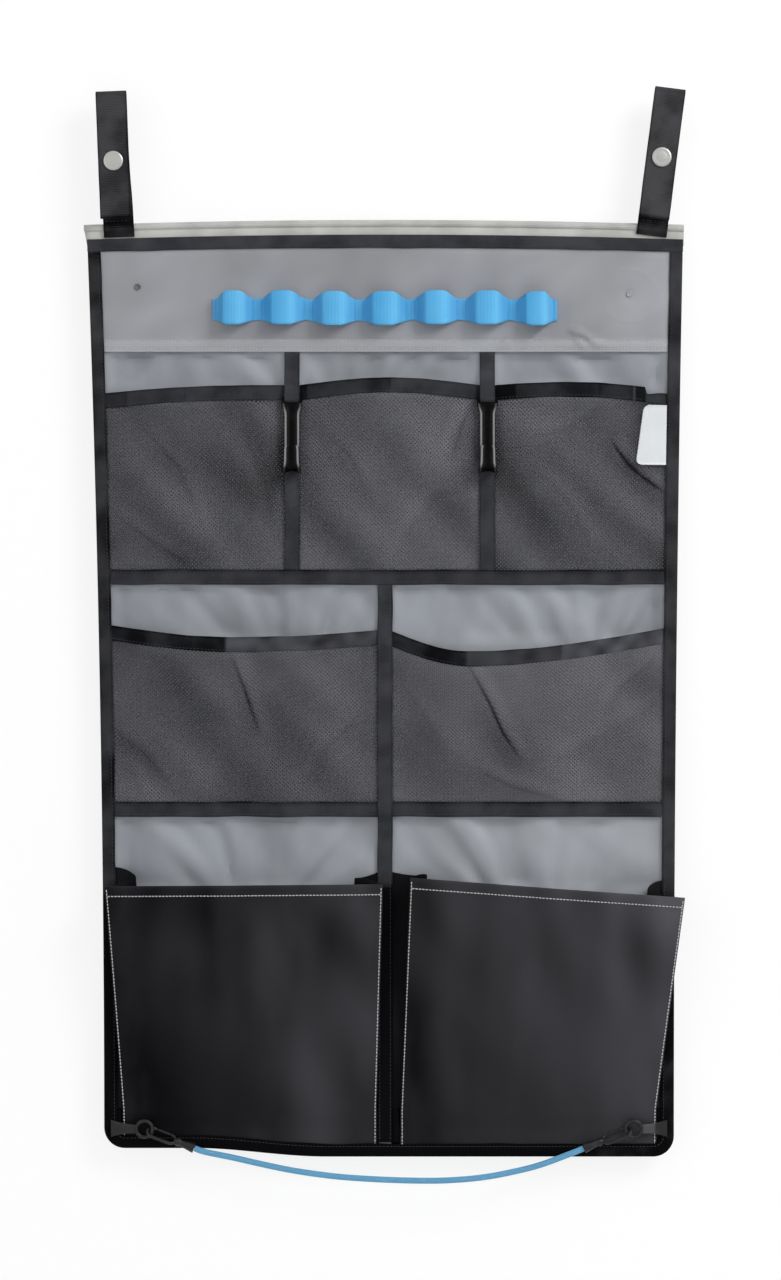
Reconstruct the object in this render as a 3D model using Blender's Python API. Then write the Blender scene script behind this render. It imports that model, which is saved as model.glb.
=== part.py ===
"""Hanging organiser: a cloth panel on a round-beaded welt, with net pockets, gusseted pockets,
tool loops, utensil hooks, snap-up hanging straps and a shock cord clipped across the foot.

Metres, +Z up, +X to the right, and the front faces -Y.
The origin is the middle of the round bead along the top edge.
"""

import math

import bmesh
import bpy
from mathutils import Matrix, Vector

MM = 0.001

# Clearance between pieces that touch.
GAP = 0.3 * MM

# Cloth and tape thicknesses.
PANEL_CLOTH = 1.0 * MM
FACING_CLOTH = 1.0 * MM
NET_CLOTH = 0.8 * MM
TAPE_CLOTH = 1.0 * MM
WELT_CLOTH = 0.6 * MM
GUSSET_CLOTH = 0.5 * MM
FRONT_CLOTH = 1.2 * MM
BAND_CLOTH = 1.2 * MM
LOOP_CLOTH = 0.9 * MM
STRAP_CLOTH = 1.3 * MM
LABEL_CLOTH = 1.4 * MM

# The outline of the bound panel, from the origin outwards.
PANEL_LEFT = 245.0 * MM
PANEL_RIGHT = 243.5 * MM
LEFT_LEAN = 14.0 * MM
RIGHT_LEAN = 7.5 * MM
TOP_BOW = 4.0 * MM
CORNER_RADIUS = 17.0 * MM
CORNER_LIFT = 7.0 * MM
LIFT_FROM = -157.0 * MM
LIFT_TO = -50.0 * MM

# Widths of tapes and bindings.
TAPE_WIDTH = 12.3 * MM
BINDING_WIDTH = 10.8 * MM
TOP_TAPE_WIDTH = 10.8 * MM
TRIM_WIDTH = 12.3 * MM
SEAM_TUCK = 5.0 * MM

# The welt and its bead.
BEAD_RADIUS = 3.0 * MM
WELT_DROP = 9.4 * MM
WELT_OVERHANG_LEFT = 2.6 * MM

# Runs down the panel, each from the end of the one above.
HEADER_DROP = 85.3 * MM
UPPER_MOUTH_DROP = 27.1 * MM
UPPER_POCKET_DEPTH = 151.3 * MM
LOWER_MOUTH_DROP = 35.7 * MM
LOWER_POCKET_DEPTH = 142.2 * MM
DEEP_MOUTH_DROP = 56.1 * MM
DEEP_POCKET_DEPTH = 183.0 * MM
FOOT_HEIGHT = 39.5 * MM

# The deep pockets' front corners, measured from the side edges and from the middle tape.
HINGE_INSET_LEFT = 15.3 * MM
HINGE_INSET_RIGHT = 14.6 * MM
HINGE_SPLIT_LEFT = 6.9 * MM
HINGE_SPLIT_RIGHT = 12.8 * MM
MOUTH_SPLIT_RIGHT = 20.5 * MM
MOUTH_SPREAD_RIGHT = 6.9 * MM
MOUTH_DROP_RIGHT = 10.7 * MM

# Dividers between the net pockets, and how far the nets stand off the panel.
UPPER_DIVIDER_LEFT = -77.0 * MM
UPPER_DIVIDER_RIGHT = 83.0 * MM
LOWER_DIVIDER = -0.8 * MM
UPPER_GAPE = 14.0 * MM
LOWER_GAPE = 16.0 * MM
LOWER_LEFT_SAG = 7.9 * MM
LOWER_RIGHT_SAG = 17.0 * MM
LOWER_LEFT_APEX = 0.42
LOWER_RIGHT_APEX = 0.29

# Elastic tool band on the header.
TOOL_LOOPS = 7
LOOP_PITCH = 41.8 * MM
LOOP_BASE = 32.8 * MM
END_LOOP_REACH = 11.6 * MM
LOOP_CREST = 0.42
LOOP_RISE = 13.0 * MM
BAND_END = 4.0 * MM
BAND_FLAT_HEIGHT = 17.4 * MM
BAND_LOOP_HEIGHT = 28.7 * MM
BAND_WIDE_HALF = 8.0 * MM
BAND_NARROW_HALF = 19.0 * MM
BAND_DROP = 50.9 * MM
BAND_MIDDLE = -0.8 * MM

# Two dished rivets in the header's corners.
RIVET_RADIUS = 2.6 * MM
RIVET_HEIGHT = 1.1 * MM
RIVET_INSET_LEFT = 41.0 * MM
RIVET_INSET_RIGHT = 43.9 * MM
RIVET_DROP_LEFT = 32.0 * MM
RIVET_DROP_RIGHT = 37.8 * MM

# Bare label sewn to the right binding.
LABEL_WIDTH = 19.0 * MM
LABEL_LEAN = 6.0 * MM
LABEL_HEIGHT = 49.0 * MM
LABEL_DROP = 16.6 * MM

# Utensil hooks and the tape loops that carry them.
HOOK_LOOP_WIDTH = 12.4 * MM
HOOK_BAR_RADIUS = 1.6 * MM
HOOK_BAR_DROP = 11.5 * MM
HOOK_SIDE_PLAY = 0.45 * MM
HOOK_ARM = 1.7 * MM
HOOK_LENGTH = 61.5 * MM
HOOK_SHANK_WIDTH = 13.0 * MM
HOOK_BEND_WIDTH = 15.4 * MM
HOOK_TIP_WIDTH = 12.5 * MM
HOOK_RAIL = 2.4 * MM
HOOK_DEPTH = 4.4 * MM
HOOK_WEB = 1.2 * MM
HOOK_BEND_RADIUS = 7.2 * MM
HOOK_TIP_RISE = 13.0 * MM

# Hanging straps, with a snap fastener on each.
STRAP_WIDTH = 25.0 * MM
STRAP_HEIGHT_LEFT = 107.6 * MM
STRAP_HEIGHT_RIGHT = 111.0 * MM
STRAP_LOOP_GAP = 5.4 * MM
STRAP_INSET_LEFT = 24.2 * MM
STRAP_INSET_RIGHT = 24.9 * MM
STRAP_TILT_LEFT = math.radians(-2.25)
STRAP_TILT_RIGHT = math.radians(7.3)
FLAP_END = 3.0 * MM
SNAP_DROP = 57.5 * MM
SNAP_HOLE_RADIUS = 2.5 * MM
SNAP_BARREL_RADIUS = 2.1 * MM
CAP_RADIUS = 8.0 * MM
CAP_HEIGHT = 1.7 * MM
SOCKET_RADIUS = 6.2 * MM
SOCKET_DEPTH = 2.6 * MM
STUD_RADIUS = 3.2 * MM
STUD_BASE_RADIUS = 5.6 * MM
STUD_REAR_RADIUS = 5.0 * MM
SNAP_PLATE = 0.9 * MM

# Gusseted pockets.
MOUTH_OPENING = 20.0 * MM
FRONT_CROWN = 4.0 * MM
PLEAT_DEPTH = 23.0 * MM
GUSSET_RISE = 13.0 * MM
GUSSET_TUCK = 1.0 * MM

# Rings, clips and shock cord across the foot.
RING_INSET = 33.4 * MM
RING_RISE = 23.6 * MM
RING_RADIUS = 6.6 * MM
RING_TUBE = 1.5 * MM
TAB_THICKNESS = 1.6 * MM
TAB_WIDTH = 14.0 * MM
TAB_LAP = 5.0 * MM
CLIP_SLOPE = math.radians(21.0)
CLIP_TWIST = math.radians(48.0)
CLIP_BEND_RADIUS = 4.6 * MM
CLIP_TUBE = 1.25 * MM
CLIP_LENGTH = 15.0 * MM
CLIP_NOSE = 2.5 * MM
CLIP_PLAY = 1.1 * MM
GATE_TUBE = 1.0 * MM
SLEEVE_LENGTH = 16.7 * MM
SLEEVE_NECK_RADIUS = 2.7 * MM
SLEEVE_MOUTH_RADIUS = 4.3 * MM
CORD_DIAMETER = 5.0 * MM
CORD_STEP = 12.0 * MM

# Levels down the panel.
Z_TOP_TAPE = -WELT_DROP
Z_HEADER = Z_TOP_TAPE - TOP_TAPE_WIDTH
Z_HEADER_END = Z_HEADER - HEADER_DROP
Z_UPPER_MOUTH = Z_HEADER_END - UPPER_MOUTH_DROP
Z_UPPER_FLOOR = Z_UPPER_MOUTH - UPPER_POCKET_DEPTH
Z_LOWER_MOUTH = Z_UPPER_FLOOR - TAPE_WIDTH - LOWER_MOUTH_DROP
Z_LOWER_FLOOR = Z_LOWER_MOUTH - LOWER_POCKET_DEPTH
Z_DEEP_MOUTH = Z_LOWER_FLOOR - TAPE_WIDTH - DEEP_MOUTH_DROP
Z_HINGE = Z_DEEP_MOUTH - DEEP_POCKET_DEPTH
Z_BOTTOM = Z_HINGE - FOOT_HEIGHT
Z_SEAM = Z_TOP_TAPE - SEAM_TUCK

# Layers from the panel cloth outwards: the middle plane of each, in Y.
PANEL_FACE = -PANEL_CLOTH / 2
FACING_Y = PANEL_FACE - GAP - FACING_CLOTH / 2
NET_Y = PANEL_FACE - GAP - NET_CLOTH / 2
FACING_FACE = PANEL_FACE - GAP - max(FACING_CLOTH, NET_CLOTH)
TAPE_Y = FACING_FACE - GAP - TAPE_CLOTH / 2
TAPE_FACE = TAPE_Y - TAPE_CLOTH / 2
REAR_TAPE_Y = PANEL_CLOTH / 2 + GAP + TAPE_CLOTH / 2
PANEL_INSET = TAPE_CLOTH + GAP

# The hinge line of the gusseted fronts, clear of the pleats and of the divider behind them.
GUSSET_BACK_Y = PANEL_FACE - GAP - GUSSET_CLOTH / 2
FRONT_BACKING = GAP + GUSSET_CLOTH / 2 + FRONT_CLOTH / 2
HINGE_Y = TAPE_FACE - GAP - FRONT_CLOTH / 2 - 0.1 * MM
MOUTH_Y = PANEL_FACE - MOUTH_OPENING - FRONT_CLOTH / 2

# Surface finishes: sRGB colour in 0 to 255, roughness, metallic.
FINISHES = {
    "welt": ((188, 188, 183), 0.75, 0.0),
    "header_cloth": ((146, 148, 153), 0.55, 0.0),
    "panel_cloth": ((146, 152, 158), 0.5, 0.0),
    "black_tape": ((44, 46, 51), 0.8, 0.0),
    "net": ((66, 66, 71), 0.8, 0.0),
    "blue_band": ((58, 160, 226), 0.7, 0.0),
    "label": ((214, 218, 219), 0.4, 0.0),
    "hook_plastic": ((38, 40, 43), 0.35, 0.0),
    "webbing": ((50, 50, 54), 0.85, 0.0),
    "nickel": ((196, 196, 192), 0.3, 1.0),
    "vinyl": ((33, 33, 36), 0.45, 0.0),
    "clip_plastic": ((62, 62, 66), 0.4, 0.0),
    "rivet": ((110, 112, 116), 0.45, 0.0),
    "blue_cord": ((90, 160, 205), 0.6, 0.0),
}


def mix(a, b, share):
    return a + (b - a) * share


def clamp(value):
    return min(max(value, 0.0), 1.0)


def ease(share):
    """A smooth step from 0 to 1."""
    share = clamp(share)
    return share * share * (3 - 2 * share)


def lean(z):
    """How much of a side's lean has been taken at height z, from 0 at the top to 1 at the bottom."""
    return 1 - (1 - clamp((Z_TOP_TAPE - z) / (Z_TOP_TAPE - Z_BOTTOM))) ** 2


def left_edge(z):
    return -PANEL_LEFT + LEFT_LEAN * lean(z)


def right_edge(z):
    return PANEL_RIGHT - RIGHT_LEAN * lean(z)


def bottom_edge(x):
    """The bottom edge, with the left corner lifted."""
    return Z_BOTTOM + CORNER_LIFT * (1 - ease((x - LIFT_FROM) / (LIFT_TO - LIFT_FROM)))


def bow(x, z):
    """How far a level line droops at x near the top edge, fading out down the header."""
    fade = clamp((z - Z_HEADER_END) / (Z_TOP_TAPE - Z_HEADER_END))
    return TOP_BOW * (x / PANEL_LEFT) ** 2 * fade


def on_panel(x, y, z):
    return Vector((x, y, z - bow(x, z)))


def linear(channel):
    value = channel / 255
    return value / 12.92 if value <= 0.04045 else ((value + 0.055) / 1.055) ** 2.4


def make_material(name, finish):
    colour, roughness, metallic = FINISHES[finish]
    material = bpy.data.materials.new(name)
    material.use_nodes = True
    shader = material.node_tree.nodes["Principled BSDF"]
    shader.inputs["Base Color"].default_value = (*map(linear, colour), 1.0)
    shader.inputs["Roughness"].default_value = roughness
    shader.inputs["Metallic"].default_value = metallic
    return material


def add(name, data, finish, carrier=None):
    """A new object on the given mesh or curve, carried by an empty if one is given."""
    item = bpy.data.objects.new(name, data)
    bpy.context.scene.collection.objects.link(item)
    data.materials.append(make_material(name + "_finish", finish))
    item.parent = carrier
    return item


def add_carrier(name, frame):
    """An empty on a joint's axis, or at the foot of a piece that is built in its own frame."""
    empty = bpy.data.objects.new(name, None)
    bpy.context.scene.collection.objects.link(empty)
    empty.matrix_world = frame
    empty.empty_display_size = 10 * MM
    return empty


def finished(mesh_builder, name, smooth=True):
    """The mesh of a bmesh, with its faces pointing out."""
    bmesh.ops.recalc_face_normals(mesh_builder, faces=mesh_builder.faces)
    closed = all(edge.is_manifold for edge in mesh_builder.edges)
    if closed and mesh_builder.calc_volume(signed=True) < 0:
        bmesh.ops.reverse_faces(mesh_builder, faces=mesh_builder.faces)
    mesh = bpy.data.meshes.new(name)
    mesh_builder.to_mesh(mesh)
    mesh_builder.free()
    if smooth:
        mesh.shade_smooth()
        mesh.set_sharp_from_angle(angle=math.radians(40))
    return mesh


def thicken(item, thickness):
    solid = item.modifiers.new("thickness", "SOLIDIFY")
    solid.thickness = thickness
    solid.offset = 0.0
    solid.use_even_offset = True


def sheet(name, columns, rows, point, thickness, finish, carrier=None):
    """A cloth made from a grid: point(i, j) gives the place of column i and row j."""
    builder = bmesh.new()
    bmesh.ops.create_grid(builder, x_segments=columns, y_segments=rows, size=0.5)
    for corner in builder.verts:
        i = round((corner.co.x + 0.5) * columns)
        j = round((corner.co.y + 0.5) * rows)
        corner.co = point(i, j)
    item = add(name, finished(builder, name), finish, carrier)
    thicken(item, thickness)
    return item


def ribbon(name, path, half_width, thickness, finish, x=0.0, carrier=None):
    """A flat tape that follows a path of (y, z) points and is as wide as asked along X."""
    def point(i, j):
        y, z = path[i]
        return Vector((x + half_width * (2 * j - 1), y, z))
    return sheet(name, len(path) - 1, 1, point, thickness, finish, carrier)


def tube_mesh(name, points, radius, resolution=2, cyclic=False):
    """The mesh of a round bar along the points, made by a bevelled curve."""
    curve = bpy.data.curves.new(name, "CURVE")
    curve.dimensions = "3D"
    curve.bevel_depth = radius
    curve.bevel_resolution = resolution
    curve.use_fill_caps = not cyclic
    spline = curve.splines.new("POLY")
    spline.points.add(len(points) - 1)
    for knot, place in zip(spline.points, points):
        knot.co = (*place, 1.0)
    spline.use_cyclic_u = cyclic
    guide = bpy.data.objects.new(name, curve)
    bpy.context.scene.collection.objects.link(guide)
    shape = guide.evaluated_get(bpy.context.evaluated_depsgraph_get()).to_mesh()
    builder = bmesh.new()
    builder.from_mesh(shape)
    bpy.data.objects.remove(guide)
    bpy.data.curves.remove(curve)
    bmesh.ops.remove_doubles(builder, verts=builder.verts, dist=0.001 * MM)
    return finished(builder, name)


def turned_mesh(name, profile, frame, steps=20):
    """A solid turned about the frame's Z from a closed (distance, radius) outline."""
    builder = bmesh.new()
    ring = [builder.verts.new((radius, 0.0, distance)) for distance, radius in profile]
    edges = [builder.edges.new((a, b)) for a, b in zip(ring, ring[1:] + ring[:1])
             if max(abs(a.co.x), abs(b.co.x)) > 0]
    bmesh.ops.spin(builder, geom=ring + edges, cent=(0, 0, 0), axis=(0, 0, 1), dvec=(0, 0, 0),
                   angle=math.tau, steps=steps, use_merge=True)
    bmesh.ops.remove_doubles(builder, verts=builder.verts, dist=0.001 * MM)
    builder.transform(frame)
    return finished(builder, name)


def swept_mesh(name, profiles):
    """A solid through a row of outlines with equally many corners, capped at both ends."""
    builder = bmesh.new()
    cap = builder.faces.new([builder.verts.new(corner) for corner in profiles[0]])
    front = cap
    for outline in profiles[1:]:
        passed = front
        grown = bmesh.ops.extrude_face_region(builder, geom=[front])["geom"]
        front = next(face for face in grown if isinstance(face, bmesh.types.BMFace))
        for corner, place in zip([loop.vert for loop in front.loops], outline):
            corner.co = place
        if passed.is_valid and passed is not cap:
            bmesh.ops.delete(builder, geom=[passed], context="FACES_ONLY")
    return finished(builder, name, smooth=False)


def box_mesh(name, low, high):
    builder = bmesh.new()
    bmesh.ops.create_cube(builder, size=1.0)
    for corner in builder.verts:
        corner.co = [mix(a, b, share + 0.5) for a, b, share in zip(low, high, corner.co)]
    return finished(builder, name, smooth=False)


def guide_object(name, mesh, carrier=None):
    """A hidden operand for a Boolean modifier."""
    item = bpy.data.objects.new(name, mesh)
    bpy.context.scene.collection.objects.link(item)
    item.parent = carrier
    item.hide_render = True
    item.display_type = "WIRE"
    return item


def combine(item, operand, operation):
    boolean = item.modifiers.new(operand.name, "BOOLEAN")
    boolean.operation = operation
    boolean.solver = "EXACT"
    boolean.object = operand


def edge_path(inset):
    """The bound outline moved inwards: down the left side, round the foot and up the right side.

    Returns three runs of (x, z) points: the left side, the foot with its corners, the right side.
    """
    side_steps = 12
    corner_steps = 5
    foot_steps = 12
    radius = CORNER_RADIUS - inset
    left_x = left_edge(Z_BOTTOM) + CORNER_RADIUS
    right_x = right_edge(Z_BOTTOM) - CORNER_RADIUS
    left_z = bottom_edge(left_x) + CORNER_RADIUS
    right_z = bottom_edge(right_x) + CORNER_RADIUS
    left_heights = [mix(Z_HEADER, left_z, k / side_steps) for k in range(side_steps + 1)]
    right_heights = [mix(right_z, Z_HEADER, k / side_steps) for k in range(side_steps + 1)]
    left = [(left_edge(z) + inset, z) for z in left_heights]
    right = [(right_edge(z) - inset, z) for z in right_heights]
    turns = [math.radians(90 * k / corner_steps) for k in range(corner_steps + 1)]
    foot = [(left_x - radius * math.cos(turn), left_z - radius * math.sin(turn)) for turn in turns]
    for k in range(1, foot_steps):
        x = mix(left_x, right_x, k / foot_steps)
        foot.append((x, bottom_edge(x) + inset))
    foot += [(right_x + radius * math.sin(turn), right_z - radius * math.cos(turn)) for turn in turns]
    return left, foot, right


def make_welt():
    """The round bead's core, and the cloth that wraps it and runs down as a flange."""
    columns = 14
    left_end = left_edge(0.0) - WELT_OVERHANG_LEFT
    neck = (GAP + WELT_CLOTH) / 2
    wrap_radius = BEAD_RADIUS - WELT_CLOTH / 2
    open_angle = math.asin(neck / wrap_radius)
    turns = 12
    path = [(-neck, Z_SEAM), (-neck, mix(Z_SEAM, 0.0, 0.5))]
    for k in range(turns + 1):
        angle = -math.pi / 2 - open_angle - k / turns * (math.tau - 2 * open_angle)
        path.append((wrap_radius * math.cos(angle), wrap_radius * math.sin(angle)))
    path += [(neck, mix(Z_SEAM, 0.0, 0.5)), (neck, Z_SEAM)]

    def wrap(i, j):
        x = mix(left_end, right_edge(0.0), i / columns)
        y, z = path[j]
        return on_panel(x, y, z)

    sheet("keder_welt", columns, len(path) - 1, wrap, WELT_CLOTH, "welt")
    core_radius = BEAD_RADIUS - WELT_CLOTH - GAP
    ends = [mix(left_end, right_edge(0.0), k / columns) for k in range(columns + 1)]
    core = [on_panel(x, 0.0, 0.0) for x in ends]
    add("keder_core", tube_mesh("keder_core", core, core_radius), "welt")


def make_top_tapes():
    columns = 14
    for name, y in (("top_tape_front", TAPE_Y), ("top_tape_rear", REAR_TAPE_Y)):
        def point(i, j, y=y):
            z = mix(Z_HEADER, Z_TOP_TAPE, j)
            return on_panel(mix(left_edge(z), right_edge(z), i / columns), y, z)
        sheet(name, columns, 1, point, TAPE_CLOTH, "black_tape")


def make_panel():
    """The back cloth, cut to the outline, and the facing across its top."""
    columns = 14
    z_top = Z_SEAM - GAP
    left, foot, right = edge_path(PANEL_INSET)
    top = [(mix(right[-1][0], left[0][0], k / columns), z_top) for k in range(columns + 1)]
    builder = bmesh.new()
    outline = [(x, z) for x, z in left[1:] + foot[1:-1] + right[:-1]] + top
    corners = [builder.verts.new(on_panel(x, 0.0, z)) for x, z in outline]
    builder.faces.new(corners)
    thicken(add("back_panel", finished(builder, "back_panel"), "panel_cloth"), PANEL_CLOTH)

    rows = 4

    def facing(i, j):
        z = mix(Z_HEADER_END, z_top, j / rows)
        x = mix(left_edge(z) + PANEL_INSET, right_edge(z) - PANEL_INSET, i / columns)
        return on_panel(x, FACING_Y, z)

    sheet("header_panel", columns, rows, facing, FACING_CLOTH, "header_cloth")


def make_bindings():
    """Tape folded round the raw edge in three runs: left side, foot with both corners, right side."""
    section = [(BINDING_WIDTH, TAPE_Y), (TAPE_CLOTH / 2, TAPE_Y),
               (TAPE_CLOTH / 2, REAR_TAPE_Y), (BINDING_WIDTH, REAR_TAPE_Y)]
    runs = [edge_path(inset) for inset, _ in section]
    for number, name in enumerate(("binding_left", "binding_foot", "binding_right")):
        count = len(runs[0][number])
        starts = Z_HEADER - GAP if number == 0 else None
        ends = Z_HEADER - GAP if number == 2 else None

        def point(i, j, number=number, count=count, starts=starts, ends=ends):
            x, z = runs[j][number][i]
            if i == 0 and starts is not None:
                z = starts
            if i == count - 1 and ends is not None:
                z = ends
            if number != 1 and z < Z_HINGE and i in (0, count - 1):
                z += GAP
            return on_panel(x, section[j][1], z)

        sheet(name, count - 1, len(section) - 1, point, TAPE_CLOTH, "black_tape")


class NetPocket:
    """A net pocket between two visible seams, with the shape of its mouth and how far it gapes."""

    def __init__(self, name, left, right, level, floor, gape, ends, rise, apex=0.5):
        self.name = name
        self.left = left
        self.right = right
        self.level = level
        self.floor = floor
        self.gape = gape
        self.ends = ends
        self.rise = rise
        self.apex = apex

    def mouth(self, u):
        """The height of the mouth's top edge at share u of the width."""
        if u < self.apex:
            share = u / (2 * self.apex)
        else:
            share = 1 - (1 - u) / (2 * (1 - self.apex))
        return self.level + mix(*self.ends, u) + self.rise * math.sin(math.pi * share)

    def stand_off(self, x, z):
        """How far the net stands forward of the panel at a place on it."""
        left = self.left(z)
        u = clamp((x - left) / (self.right(z) - left))
        v = clamp((z - self.floor) / (self.mouth(u) - self.floor))
        return self.gape * math.sin(math.pi * u) * math.sin(math.pi / 2 * v)

    def across(self, i, columns, z):
        """The place of column i: the outermost columns run on under the tapes."""
        left = self.left(z)
        right = self.right(z)
        if i == 0:
            return left - SEAM_TUCK, 0.0
        if i == columns:
            return right + SEAM_TUCK, 1.0
        u = (i - 1) / (columns - 2)
        return mix(left, right, u), u

    def make(self):
        columns = 12
        rows = 8

        def net(i, j):
            u = clamp((i - 1) / (columns - 2))
            top = self.mouth(u) - TRIM_WIDTH - GAP
            z = self.floor - SEAM_TUCK if j == 0 else mix(self.floor, top, (j - 1) / (rows - 1))
            x, _ = self.across(i, columns, z)
            return Vector((x, NET_Y - self.stand_off(x, z), z))

        def trim(i, j):
            u = clamp((i - 1) / (columns - 2))
            z = self.mouth(u) - TRIM_WIDTH * (1 - j)
            x, _ = self.across(i, columns, z)
            return Vector((x, FACING_Y - self.stand_off(x, z), z))

        sheet("net_" + self.name, columns, rows, net, NET_CLOTH, "net")
        sheet("trim_" + self.name, columns, 1, trim, FACING_CLOTH, "black_tape")


def inner_left(z):
    return left_edge(z) + BINDING_WIDTH


def inner_right(z):
    return right_edge(z) - BINDING_WIDTH


def tape_side(x, side):
    """The visible edge of a divider tape at x, on its left (-1) or right (+1) side."""
    return lambda z: x + side * TAPE_WIDTH / 2


NET_POCKETS = [
    NetPocket("upper_left", inner_left, tape_side(UPPER_DIVIDER_LEFT, -1), Z_UPPER_MOUTH,
              Z_UPPER_FLOOR, UPPER_GAPE, (-6.6 * MM, 0.0), 1.2 * MM),
    NetPocket("upper_middle", tape_side(UPPER_DIVIDER_LEFT, 1), tape_side(UPPER_DIVIDER_RIGHT, -1),
              Z_UPPER_MOUTH, Z_UPPER_FLOOR, UPPER_GAPE, (0.0, 0.0), 5.3 * MM),
    NetPocket("upper_right", tape_side(UPPER_DIVIDER_RIGHT, 1), inner_right, Z_UPPER_MOUTH,
              Z_UPPER_FLOOR, UPPER_GAPE, (0.0, -3.7 * MM), 3.4 * MM),
    NetPocket("lower_left", inner_left, tape_side(LOWER_DIVIDER, -1), Z_LOWER_MOUTH,
              Z_LOWER_FLOOR, LOWER_GAPE, (2.5 * MM, -1.6 * MM), -LOWER_LEFT_SAG,
              LOWER_LEFT_APEX),
    NetPocket("lower_right", tape_side(LOWER_DIVIDER, 1), inner_right, Z_LOWER_MOUTH,
              Z_LOWER_FLOOR, LOWER_GAPE, (-2.5 * MM, 0.0), -LOWER_RIGHT_SAG,
              LOWER_RIGHT_APEX),
]


def make_tapes():
    """Divider tapes down the panel and cross tapes over the pockets' floors."""
    half = TAPE_WIDTH / 2
    for name, x in (("divider_upper_left", UPPER_DIVIDER_LEFT),
                    ("divider_upper_right", UPPER_DIVIDER_RIGHT)):
        path = [(TAPE_Y, Z_UPPER_MOUTH), (TAPE_Y, Z_UPPER_FLOOR + GAP)]
        ribbon(name, path, half, TAPE_CLOTH, "black_tape", x)

    columns = 8
    for name, top in (("cross_tape_upper", Z_UPPER_FLOOR), ("cross_tape_lower", Z_LOWER_FLOOR)):
        def point(i, j, top=top):
            z = top - TAPE_WIDTH * (1 - j)
            x = mix(inner_left(z) + GAP, inner_right(z) - GAP, i / columns)
            return Vector((x, TAPE_Y, z))
        sheet(name, columns, 1, point, TAPE_CLOTH, "black_tape")

    raised = TAPE_Y - TAPE_CLOTH - GAP
    step = 2 * TAPE_CLOTH
    over = TAPE_CLOTH
    path = [(TAPE_Y, Z_UPPER_FLOOR - TAPE_WIDTH - GAP),
            (TAPE_Y, Z_LOWER_FLOOR + over + step),
            (raised, Z_LOWER_FLOOR + over),
            (raised, Z_LOWER_FLOOR - TAPE_WIDTH - over),
            (TAPE_Y, Z_LOWER_FLOOR - TAPE_WIDTH - over - step),
            (TAPE_Y, bottom_edge(LOWER_DIVIDER + half) + BINDING_WIDTH + GAP + CORNER_LIFT / 8)]
    ribbon("divider_lower", path, half, TAPE_CLOTH, "black_tape", LOWER_DIVIDER)


def loop_outline(share):
    """How far a tool loop stands out, at a share of its half base from its middle."""
    return LOOP_RISE * (1 - ease((abs(share) - LOOP_CREST) / (1 - LOOP_CREST)))


def band_width(distance):
    """The band's width: full across a loop and drawn in where it is sewn down between loops."""
    drawn_in = ease((distance - BAND_WIDE_HALF) / (BAND_NARROW_HALF - BAND_WIDE_HALF))
    return mix(BAND_LOOP_HEIGHT, BAND_FLAT_HEIGHT, drawn_in)


def make_tool_band():
    """One elastic band, sewn flat between loops and wider where it stands out."""
    base_y = FACING_FACE - GAP - BAND_CLOTH / 2
    z = Z_HEADER - BAND_DROP
    half_base = LOOP_BASE / 2
    first = BAND_MIDDLE - LOOP_PITCH * (TOOL_LOOPS - 1) / 2
    last = TOOL_LOOPS - 1
    shares = (-1.0, -0.85, -0.71, -0.57, -0.42, 0.0, 0.42, 0.57, 0.71, 0.85, 1.0)
    stations = [(first - END_LOOP_REACH - BAND_END, 0.0, BAND_FLAT_HEIGHT)]
    for number in range(TOOL_LOOPS):
        middle = first + number * LOOP_PITCH
        if number > 0:
            stations.append((middle - LOOP_PITCH / 2, 0.0, BAND_FLAT_HEIGHT))
        for share in shares:
            is_end = (number == 0 and share < 0) or (number == last and share > 0)
            reach = END_LOOP_REACH if is_end else half_base
            width = band_width(abs(share) * half_base)
            stations.append((middle + share * reach, loop_outline(share), width))
    stations.append((first + last * LOOP_PITCH + END_LOOP_REACH + BAND_END, 0.0, BAND_FLAT_HEIGHT))

    def point(i, j):
        x, rise, width = stations[i]
        return Vector((x, base_y - rise, z + width / 2 * (2 * j - 1)))

    sheet("tool_loop_band", len(stations) - 1, 1, point, BAND_CLOTH, "blue_band")


def make_header_rivets():
    """Two dished rivet heads in the header's corners."""
    rim = 0.7 * RIVET_RADIUS
    profile = [(0.0, 0.0), (0.0, RIVET_RADIUS), (0.5 * RIVET_HEIGHT, RIVET_RADIUS),
               (RIVET_HEIGHT, rim), (0.5 * RIVET_HEIGHT, 0.4 * RIVET_RADIUS),
               (0.4 * RIVET_HEIGHT, 0.0)]
    face = FACING_FACE - GAP
    places = (("left", left_edge(Z_HEADER) + RIVET_INSET_LEFT, Z_HEADER - RIVET_DROP_LEFT),
              ("right", right_edge(Z_HEADER) - RIVET_INSET_RIGHT, Z_HEADER - RIVET_DROP_RIGHT))
    for side, x, z in places:
        name = "header_rivet_" + side
        frame = Matrix.Translation((x, face, z)) @ Matrix.Rotation(math.pi / 2, 4, "X")
        add(name, turned_mesh(name, profile, frame, steps=14), "rivet")


def make_label():
    """A bare label that lies on the right upper net with its right edge at the binding."""
    pocket = NET_POCKETS[2]
    columns = 5
    rows = 6
    top = Z_UPPER_MOUTH - LABEL_DROP
    lift = NET_CLOTH / 2 + GAP + LABEL_CLOTH / 2

    def point(i, j):
        z = top - LABEL_HEIGHT * (1 - j / rows)
        right = inner_right(z) - GAP
        width = LABEL_WIDTH + LABEL_LEAN * (1 - j / rows)
        x = right - width * (1 - i / columns)
        return Vector((x, NET_Y - pocket.stand_off(x, z) - lift, z))

    sheet("label", columns, rows, point, LABEL_CLOTH, "label")


def hook_bar_place(x):
    """The middle of a utensil hook's bar, hanging in its loop in front of the divider tape."""
    y = TAPE_FACE - GAP - LOOP_CLOTH - GAP - HOOK_BAR_RADIUS
    return Vector((x, y, Z_UPPER_MOUTH - HOOK_BAR_DROP))


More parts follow.
